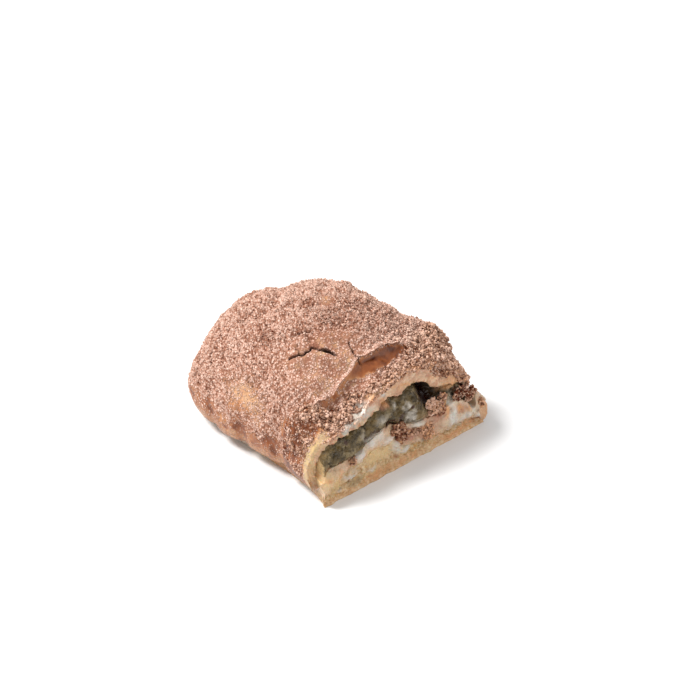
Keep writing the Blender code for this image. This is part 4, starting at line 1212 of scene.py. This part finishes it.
def grain_group():
    """Grain: speckled colour between a dark and a light tint, and the height of the specks."""
    group = bpy.data.node_groups.get("grain")
    if group:
        return group
    group, start, end = node_group(
        "grain", [("Dark", "NodeSocketColor", (0.1, 0.05, 0.03, 1)),
                  ("Light", "NodeSocketColor", (0.8, 0.5, 0.4, 1)),
                  ("Size", "NodeSocketFloat", 0.4), ("Contrast", "NodeSocketFloat", 1.0),
                  ("Seams", "NodeSocketFloat", 0.0)],
        [("Color", "NodeSocketColor"), ("Height", "NodeSocketFloat"),
         ("Mask", "NodeSocketFloat")])
    here = add(group, "ShaderNodeTexCoord").outputs["Object"]
    density = maths(group, "DIVIDE", 1000.0, start.outputs["Size"])
    cells = add(group, "ShaderNodeTexVoronoi", {"Vector": here, "Scale": density})
    specks = add(group, "ShaderNodeTexNoise", {"Vector": here, "Scale": density, "Detail": 3.0,
                                               "Roughness": 0.65}).outputs[0]
    seams = add(group, "ShaderNodeTexVoronoi", {"Vector": here, "Scale": density},
                feature="DISTANCE_TO_EDGE").outputs["Distance"]
    knob = maths(group, "MULTIPLY", spread(group, cells.outputs["Distance"], 0.75, 0.1),
                 spread(group, seams, 0.0, 0.16, maths(group, "MULTIPLY_ADD",
                                                       start.outputs["Seams"], -0.85, 1.0), 1.0))
    height = maths(group, "MULTIPLY_ADD", specks, 0.9, maths(group, "MULTIPLY", knob, 0.5))
    centred = maths(group, "SUBTRACT", height, 0.72)
    share = maths(group, "MULTIPLY_ADD", centred, start.outputs["Contrast"], 0.5, clamp=True)
    colour = mixed(group, share, start.outputs["Dark"], start.outputs["Light"])
    for label, socket in (("Color", colour), ("Height", height), ("Mask", share)):
        group.links.new(socket, end.inputs[label])
    return group


def patch_group():
    """Patches: a soft mask of blotches of a size, more or less of them by Amount."""
    group = bpy.data.node_groups.get("patches")
    if group:
        return group
    group, start, end = node_group(
        "patches", [("Size", "NodeSocketFloat", 3.0), ("Amount", "NodeSocketFloat", 0.5),
                    ("Softness", "NodeSocketFloat", 0.15), ("Shift", "NodeSocketFloat", 0.0)],
        [("Mask", "NodeSocketFloat")])
    here = add(group, "ShaderNodeTexCoord").outputs["Object"]
    moved = add(group, "ShaderNodeVectorMath", {0: here, 1: start.outputs["Shift"]})
    density = maths(group, "DIVIDE", 1000.0, start.outputs["Size"])
    noise = add(group, "ShaderNodeTexNoise", {"Vector": moved.outputs[0], "Scale": density,
                                              "Detail": 3.0}).outputs[0]
    level = maths(group, "SUBTRACT", 1.0, start.outputs["Amount"])
    low = maths(group, "SUBTRACT", level, start.outputs["Softness"])
    high = maths(group, "ADD", level, start.outputs["Softness"])
    mask = spread(group, noise, low, high)
    group.links.new(mask, end.inputs["Mask"])
    return group


def placed(tree, group, **values):
    """A node group placed in a material with its values."""
    node = add(tree, "ShaderNodeGroup", node_tree=group)
    for key, value in values.items():
        if isinstance(value, bpy.types.NodeSocket):
            tree.links.new(value, node.inputs[key])
        else:
            node.inputs[key].default_value = value
    return node


def new_material(name, **constants):
    """A material whose shader has these values on its own sockets."""
    material = bpy.data.materials.new(name)
    material.use_nodes = True
    tree = material.node_tree
    shader = tree.nodes["Principled BSDF"]
    for key, value in constants.items():
        shader.inputs[key.replace("_", " ")].default_value = value
    return material, tree, shader


def bump(tree, shader, height, distance, strength=1.0):
    """Feeds a height in metres to the shader's normal."""
    node = add(tree, "ShaderNodeBump", {"Height": height, "Distance": distance,
                                        "Strength": strength})
    tree.links.new(node.outputs[0], shader.inputs["Normal"])


def ramp_colour(tree, share, stops):
    """A colour run along a share, from (place, colour) stops."""
    ramp = add(tree, "ShaderNodeValToRGB", {"Fac": share})
    for _ in range(len(stops) - 2):
        ramp.color_ramp.elements.new(0.5)
    for element, (place, colour) in zip(ramp.color_ramp.elements, stops):
        element.position = place
        element.color = colour
    return ramp.outputs[0]


def leaf_colour(tree, toast):
    """Colour of fried leaf from pale gold through orange to dark brown."""
    return ramp_colour(tree, toast, ((0.0, tint(188, 162, 124)), (0.2, tint(212, 166, 126)),
                                     (0.42, tint(190, 128, 82)), (0.68, tint(148, 84, 44)),
                                     (1.0, tint(82, 36, 16))))


def soaked(tree, colour):
    """A colour under the stains of the cut, laid on one after another."""
    for kind in STAINS:
        colour = mixed(tree, attribute(tree, kind), colour, STAIN_TINTS[kind])
    return colour


def cocoa_leaf(settings):
    """Fried leaf under cocoa: leaf colour where it is bare, grained cocoa elsewhere; painted shade
    darkens it low in the grain and in the cracks.
    """
    found = bpy.data.materials.get("cocoa_leaf")
    if found:
        return found
    material, tree, shader = new_material("cocoa_leaf", Specular_IOR_Level=0.35)
    grain = placed(tree, grain_group(), Size=0.62, Contrast=2.4, Seams=1.0)
    # Painted shade: the cocoa's tone falls with the height of its grain and its speckles, down to the
    # pit colour.
    height = spread(tree, attribute(tree, "height"), 0.10, 0.55)
    shade_and_grain_tone = maths(tree, "MULTIPLY_ADD", height, 0.65, maths(tree, "MULTIPLY",
                                                          grain.outputs["Mask"], 0.5))
    tone = maths(tree, "MULTIPLY_ADD", attribute(tree, "darker"), -0.25, shade_and_grain_tone)
    cocoa = ramp_colour(tree, tone, ((0.0, tuple(settings.cocoa_pit_shade)),
                                     (0.45, tuple(settings.cocoa_dark)),
                                     (1.0, tuple(settings.cocoa_light))))
    blotch = placed(tree, patch_group(), Size=4.0, Amount=0.5, Softness=0.25)
    toast = maths(tree, "MULTIPLY_ADD", blotch.outputs[0], 0.16, attribute(tree, "toast"))
    leaf = soaked(tree, leaf_colour(tree, maths(tree, "SUBTRACT", toast, 0.08)))
    speckled = maths(tree, "MULTIPLY_ADD", grain.outputs["Mask"], 0.55, attribute(tree, "dust"))
    # Painted shade: low in the grain the cocoa cover thins and the darker leaf shows.
    peaked = maths(tree, "MULTIPLY_ADD", height, 0.5, maths(tree, "SUBTRACT", speckled, 0.3))
    cover = spread(tree, peaked, 0.3, 0.8)
    colour = mixed(tree, cover, leaf, cocoa)
    # Painted shade in the cracks and splits.
    dark = mixed(tree, attribute(tree, "shade"), colour, tint(48, 22, 12))
    tree.links.new(dark, shader.inputs["Base Color"])
    tree.links.new(spread(tree, cover, 0.0, 1.0, 0.32, 0.92), shader.inputs["Roughness"])
    bump(tree, shader, maths(tree, "MULTIPLY", grain.outputs["Height"], cover), 0.32 * MM)
    return material


def cocoa_grain(settings):
    """Loose cocoa: light to dark by tone, pinkish to orange by warmth."""
    found = bpy.data.materials.get("cocoa_grain")
    if found:
        return found
    material, tree, shader = new_material("cocoa_grain", Roughness=0.85, Specular_IOR_Level=0.3)
    tone = attribute(tree, "tone")
    cool = mixed(tree, tone, tuple(settings.grain_dark), tuple(settings.grain_light))
    warm = mixed(tree, tone, tint(104, 44, 12), tint(228, 172, 128))
    tree.links.new(mixed(tree, attribute(tree, "warmth"), cool, warm), shader.inputs["Base Color"])
    speck = placed(tree, grain_group(), Size=0.22, Contrast=1.2, Seams=1.0)
    bump(tree, shader, speck.outputs["Height"], 0.12 * MM)
    return material


def cut_pastry():
    """Cut edge of the crust: soaked leaves under a toasted rim, stained."""
    material, tree, shader = new_material("cut_pastry", Specular_IOR_Level=0.5,
                                          Subsurface_Weight=0.15, Subsurface_Scale=0.001)
    grain = placed(tree, grain_group(), Size=0.8, Contrast=2.0)
    layer = maths(tree, "MULTIPLY_ADD", grain.outputs["Mask"], 0.2, attribute(tree, "layer"))
    leaves = ramp_colour(tree, layer, ((0.0, tint(184, 140, 98)), (0.22, tint(212, 176, 140)),
                                       (0.72, tint(216, 180, 150)), (0.9, tint(190, 132, 92)),
                                       (1.0, tint(140, 82, 50))))
    pink = placed(tree, patch_group(), Size=1.5, Amount=0.46, Softness=0.08)
    rosy = mixed(tree, maths(tree, "MULTIPLY", pink.outputs[0], 0.7), leaves, tint(184, 122, 88))
    speckled = mixed(tree, maths(tree, "MULTIPLY", grain.outputs["Mask"], 0.35),
                     soaked(tree, rosy), tint(228, 198, 168))
    tree.links.new(speckled, shader.inputs["Base Color"])
    tree.links.new(spread(tree, grain.outputs["Mask"], 0.0, 1.0, 0.35, 0.7),
                   shader.inputs["Roughness"])
    bump(tree, shader, grain.outputs["Height"], 0.2 * MM)
    return material


def lining_painted_shade():
    """Inside of the crust, painted dark brown as shade under the crust."""
    material, tree, shader = new_material("lining_painted_shade", Roughness=0.6)
    grain = placed(tree, grain_group(), Size=1.2, Contrast=1.2, Dark=tint(44, 16, 6),
                   Light=tint(92, 46, 22))
    tree.links.new(grain.outputs["Color"], shader.inputs["Base Color"])
    bump(tree, shader, grain.outputs["Height"], 0.2 * MM)
    return material


def pistachio_paste(settings):
    """Ground pistachio in milk: olive grey, pale milky film and wet glints, with painted shade: dark
    in the creases and pits, near black in the hollow behind the cut.
    """
    material, tree, shader = new_material("pistachio_paste", Specular_IOR_Level=0.4)
    grain = placed(tree, grain_group(), Size=2.0, Contrast=1.1,
                   Dark=tuple(settings.paste_dark), Light=tuple(settings.paste_light))
    film = placed(tree, patch_group(), Size=2.2, Amount=0.44, Softness=0.05)
    milky = mixed(tree, maths(tree, "MULTIPLY", film.outputs[0], 0.5), grain.outputs["Color"],
                  tint(156, 136, 100))
    # Painted shade: small dark patches stand for the shade in the pits of the paste.
    pits = placed(tree, patch_group(), Size=0.9, Amount=0.38, Softness=0.05, Shift=0.3)
    pit_shaded = mixed(tree, maths(tree, "MULTIPLY", pits.outputs[0], 0.45), milky, tint(46, 36, 16))
    # Painted shade in the creases of the paste.
    seam = maths(tree, "MULTIPLY", attribute(tree, "seam"), 0.9)
    crease_shaded = mixed(tree, seam, pit_shaded, tint(34, 22, 8))
    # Painted shade: near black in the hollow behind the cut.
    hollow_shade = mixed(tree, attribute(tree, "hollow_shade"), soaked(tree, crease_shaded), tint(34, 9, 3))
    tree.links.new(hollow_shade, shader.inputs["Base Color"])
    wet = placed(tree, patch_group(), Size=1.2, Amount=0.5, Softness=0.1, Shift=0.7)
    tree.links.new(spread(tree, wet.outputs[0], 0.0, 1.0, 0.5, 0.14), shader.inputs["Roughness"])
    fine = placed(tree, grain_group(), Size=1.2, Contrast=1.5, Seams=1.0)
    bump(tree, shader, fine.outputs["Height"], 0.5 * MM)
    return material


def milk_cream(settings):
    """Milk cream: grey beige where it has soaked cocoa, paler in its runs and milky folds."""
    material, tree, shader = new_material("milk_cream", Specular_IOR_Level=0.6,
                                          Subsurface_Weight=0.15, Subsurface_Scale=0.0012)
    grain = placed(tree, grain_group(), Size=0.7, Contrast=1.5)
    stain = placed(tree, patch_group(), Size=1.8, Amount=0.46, Softness=0.14)
    tinted = mixed(tree, maths(tree, "MULTIPLY", stain.outputs[0], 0.7),
                   tuple(settings.cream_colour), tint(172, 124, 88))
    speckled = mixed(tree, maths(tree, "MULTIPLY", grain.outputs["Mask"], 0.3), tinted,
                     tint(222, 194, 164))
    runs = mixed(tree, maths(tree, "MULTIPLY", attribute(tree, "runs"), 0.45), speckled,
                 tint(212, 196, 172))
    tree.links.new(soaked(tree, runs), shader.inputs["Base Color"])
    wet = placed(tree, patch_group(), Size=1.5, Amount=0.5, Softness=0.15, Shift=0.4)
    tree.links.new(spread(tree, wet.outputs[0], 0.0, 1.0, 0.16, 0.45), shader.inputs["Roughness"])
    bump(tree, shader, grain.outputs["Height"], 0.16 * MM)
    return material


def soaked_pastry(settings):
    """Soaked pastry: beige crumb above a golden bottom band, with deeper spots."""
    material, tree, shader = new_material("soaked_pastry", Specular_IOR_Level=0.5,
                                          Subsurface_Weight=0.15, Subsurface_Scale=0.0012)
    blotch = placed(tree, patch_group(), Size=2.4, Amount=0.5, Softness=0.3)
    wavy = maths(tree, "MULTIPLY_ADD", blotch.outputs[0], 1.6, attribute(tree, "rise"))
    band = spread(tree, wavy, 0.8, 3.2, 0.9, 0.0)
    grain = placed(tree, grain_group(), Size=0.8, Contrast=1.8,
                   Dark=tuple(settings.crumb_dark), Light=tuple(settings.crumb_light))
    golden = placed(tree, grain_group(), Size=1.0, Contrast=1.6,
                    Dark=tint(204, 152, 102), Light=tint(246, 216, 176))
    colour = mixed(tree, band, grain.outputs["Color"], golden.outputs["Color"])
    spots = placed(tree, patch_group(), Size=1.3, Amount=0.38, Softness=0.07, Shift=0.2)
    yellow = mixed(tree, maths(tree, "MULTIPLY", spots.outputs[0], 0.6), colour,
                   tint(196, 146, 74))
    tree.links.new(soaked(tree, yellow), shader.inputs["Base Color"])
    tree.links.new(spread(tree, grain.outputs["Mask"], 0.0, 1.0, 0.25, 0.6),
                   shader.inputs["Roughness"])
    bump(tree, shader, grain.outputs["Height"], 0.25 * MM)
    return material


# ---------------------------------------------------------------- the stage
def build_stage(settings):
    """Pale floor, soft lights and the camera."""
    mesh = bpy.data.meshes.new("floor")
    half = 3.0
    mesh.from_pydata([(-half, -half, 0), (half, -half, 0), (half, half, 0), (-half, half, 0)],
                     [], [(0, 1, 2, 3)])
    material, _, shader = new_material("pale_floor", Roughness=0.6, Specular_IOR_Level=0.2)
    shader.inputs["Base Color"].default_value = (*settings.floor_colour, 1)
    mesh.materials.append(material)
    floor = bpy.data.objects.new("floor", mesh)
    bpy.context.scene.collection.objects.link(floor)
    world = bpy.data.worlds.new("studio")
    bpy.context.scene.world = world
    world.use_nodes = True
    background = world.node_tree.nodes["Background"]
    background.inputs["Color"].default_value = (1, 1, 1, 1)
    background.inputs["Strength"].default_value = settings.sky_strength
    for name, place, size, power in (("key", (-0.38, 0.36, 0.75), 0.3, settings.key_power),
                                     ("fill", (0.35, -0.55, 0.45), 0.6, settings.fill_power)):
        data = bpy.data.lights.new(name, "AREA")
        data.energy, data.size = power, size
        light = bpy.data.objects.new(name, data)
        light.location = place
        light.rotation_mode = "QUATERNION"
        light.rotation_quaternion = (light.location * -1).to_track_quat("-Z", "Y")
        bpy.context.scene.collection.objects.link(light)
    bpy.context.scene.view_settings.view_transform = "Standard"
    build_camera(settings)


def build_camera(settings):
    """Camera at an angle round the slice, aimed a little above and right of its foot."""
    turn, rise = settings.azimuth, settings.elevation
    back = np.array([np.sin(turn) * np.cos(rise), -np.cos(turn) * np.cos(rise), np.sin(rise)])
    right = np.array([np.cos(turn), np.sin(turn), 0])
    up = np.cross(back, right)
    aside, above = 14.4 / 1862, 63.2 / 1862
    away = back - right * aside - up * above
    away /= np.linalg.norm(away)
    side = right - away * (right @ away)
    side /= np.linalg.norm(side)
    data = bpy.data.cameras.new("camera")
    data.sensor_width, data.lens = 36, 36 * 1862 / 700
    data.clip_start, data.clip_end = 0.01, 20
    camera = bpy.data.objects.new("camera", data)
    place = back * settings.distance
    turned = np.stack((side, np.cross(away, side), away), -1)
    camera.matrix_world = Matrix([[*turned[i].tolist(), float(place[i])] for i in range(3)]
                                 + [[0, 0, 0, 1]])
    bpy.context.scene.collection.objects.link(camera)
    bpy.context.scene.camera = camera


# ---------------------------------------------------------------- settings
def colour_property(name, description, colour):
    """A colour setting given as it looks, 0 to 255."""
    return FloatVectorProperty(name=name, description=description, default=tint(*colour),
                               size=4, subtype="COLOR", min=0, max=1)


class BaklavaCrustSettings(bpy.types.PropertyGroup):
    grain_depth: FloatProperty(name="Grain depth", description="Height of the cocoa grain",
                               default=1.0, min=0, max=3, subtype="FACTOR")
    # The pit colour is painted shade, laid low in the grain of the cocoa.
    cocoa_pit_shade: colour_property("Cocoa, deepest", "Cocoa deep in the pits", (88, 36, 12))
    cocoa_dark: colour_property("Cocoa, dark", "Cocoa on the slopes of the grain", (166, 114, 90))
    cocoa_light: colour_property("Cocoa, light", "Cocoa on the tops of the grain", (240, 204, 186))
    grain_dark: colour_property("Grain, dark", "Darkest loose grains", (100, 44, 16))
    grain_light: colour_property("Grain, light", "Lightest loose grains", (242, 206, 186))


class BaklavaFillingSettings(bpy.types.PropertyGroup):
    lump_height: FloatProperty(name="Lump height", description="How far the lumps stand out",
                               default=1.0, min=0, max=3, subtype="FACTOR")
    paste_dark: colour_property("Paste, dark", "Ground pistachio in the seams", (40, 30, 12))
    paste_light: colour_property("Paste, light", "Ground pistachio on the lumps", (124, 100, 54))


class BaklavaCreamSettings(bpy.types.PropertyGroup):
    drip_depth: FloatProperty(name="Drip depth", description="How far the runs of cream stand out",
                              default=0.5 * MM, min=0, unit="LENGTH")
    cream_colour: colour_property("Cream", "Colour of the milk cream", (196, 164, 132))


class BaklavaBaseSettings(bpy.types.PropertyGroup):
    leaf_height: FloatProperty(name="Leaf height", description="Height of one soaked leaf",
                               default=0.62 * MM, min=0.2 * MM, unit="LENGTH")
    crumb_dark: colour_property("Crumb, dark", "Soaked pastry in its pores", (170, 132, 84))
    crumb_light: colour_property("Crumb, light", "Soaked pastry on its crumbs", (220, 194, 154))


class BaklavaStageSettings(bpy.types.PropertyGroup):
    floor_colour: FloatVectorProperty(name="Floor", description="Colour of the floor",
                                      default=(0.86, 0.86, 0.86), subtype="COLOR", min=0, max=1)
    sky_strength: FloatProperty(name="Sky", description="Strength of the even light",
                                default=0.56, min=0)
    key_power: FloatProperty(name="Key light", description="Power of the light from above",
                             default=10.2, min=0, unit="POWER")
    fill_power: FloatProperty(name="Fill light", description="Power of the light on the cut",
                              default=1.6, min=0, unit="POWER")
    azimuth: FloatProperty(name="Azimuth", description="Angle of the camera round the slice",
                           default=float(np.radians(-40.95)), subtype="ANGLE")
    elevation: FloatProperty(name="Elevation", description="Angle of the camera over the floor",
                             default=float(np.radians(36)), subtype="ANGLE")
    distance: FloatProperty(name="Distance", description="Distance of the camera",
                            default=0.45, min=0.05, unit="LENGTH")


class BaklavaSettings(bpy.types.PropertyGroup):
    crust: PointerProperty(type=BaklavaCrustSettings)
    filling: PointerProperty(type=BaklavaFillingSettings)
    cream: PointerProperty(type=BaklavaCreamSettings)
    base: PointerProperty(type=BaklavaBaseSettings)
    stage: PointerProperty(type=BaklavaStageSettings)


class BAKLAVA_OT_base(bpy.types.Operator):
    """Make the soaked pastry base"""
    bl_idname = "baklava.base"
    bl_label = "Soaked base"

    def execute(self, context):
        build_base(context.scene.baklava.base)
        return {"FINISHED"}


class BAKLAVA_OT_cream(bpy.types.Operator):
    """Make the milk cream"""
    bl_idname = "baklava.cream"
    bl_label = "Milk cream"

    def execute(self, context):
        build_cream(context.scene.baklava.cream)
        return {"FINISHED"}


class BAKLAVA_OT_filling(bpy.types.Operator):
    """Make the pistachio filling"""
    bl_idname = "baklava.filling"
    bl_label = "Pistachio filling"

    def execute(self, context):
        build_filling(context.scene.baklava.filling)
        return {"FINISHED"}


class BAKLAVA_OT_crust(bpy.types.Operator):
    """Make the crust and its torn top leaf"""
    bl_idname = "baklava.crust"
    bl_label = "Cocoa crust"

    def execute(self, context):
        build_crust(context.scene.baklava.crust)
        build_torn_leaf(context.scene.baklava.crust)
        return {"FINISHED"}


class BAKLAVA_OT_cocoa(bpy.types.Operator):
    """Strew cocoa powder, grains and crumbs"""
    bl_idname = "baklava.cocoa"
    bl_label = "Cocoa and crumbs"

    def execute(self, context):
        settings = context.scene.baklava.crust
        build_powder(settings)
        build_grains(settings)
        build_piles(settings)
        return {"FINISHED"}


class BAKLAVA_OT_stage(bpy.types.Operator):
    """Make the floor, the lights and the camera"""
    bl_idname = "baklava.stage"
    bl_label = "Stage"

    def execute(self, context):
        build_stage(context.scene.baklava.stage)
        return {"FINISHED"}


OPERATORS = (BAKLAVA_OT_base, BAKLAVA_OT_cream, BAKLAVA_OT_filling, BAKLAVA_OT_crust,
             BAKLAVA_OT_cocoa, BAKLAVA_OT_stage)


class BAKLAVA_PT_panel(bpy.types.Panel):
    """Pieces of the slice and their settings"""
    bl_label = "Baklava slice"
    bl_space_type = "VIEW_3D"
    bl_region_type = "UI"
    bl_category = "Baklava"

    def draw(self, context):
        for operator in OPERATORS:
            self.layout.operator(operator.bl_idname)
        settings = context.scene.baklava
        for group in (settings.crust, settings.filling, settings.cream, settings.base,
                      settings.stage):
            box = self.layout.box()
            for key in group.__annotations__:
                box.prop(group, key)


CLASSES = (BaklavaCrustSettings, BaklavaFillingSettings, BaklavaCreamSettings,
           BaklavaBaseSettings, BaklavaStageSettings, BaklavaSettings, *OPERATORS,
           BAKLAVA_PT_panel)


def register():
    """Adds the settings, operators and panel."""
    for each in CLASSES:
        bpy.utils.register_class(each)
    bpy.types.Scene.baklava = PointerProperty(type=BaklavaSettings)


def unregister():
    """Removes them in the opposite order."""
    del bpy.types.Scene.baklava
    for each in reversed(CLASSES):
        bpy.utils.unregister_class(each)


def main():
    """Makes every piece and the stage."""
    register()
    for step in (bpy.ops.baklava.base, bpy.ops.baklava.cream, bpy.ops.baklava.filling,
                 bpy.ops.baklava.crust, bpy.ops.baklava.cocoa, bpy.ops.baklava.stage):
        step()


if __name__ == "__main__":
    main()
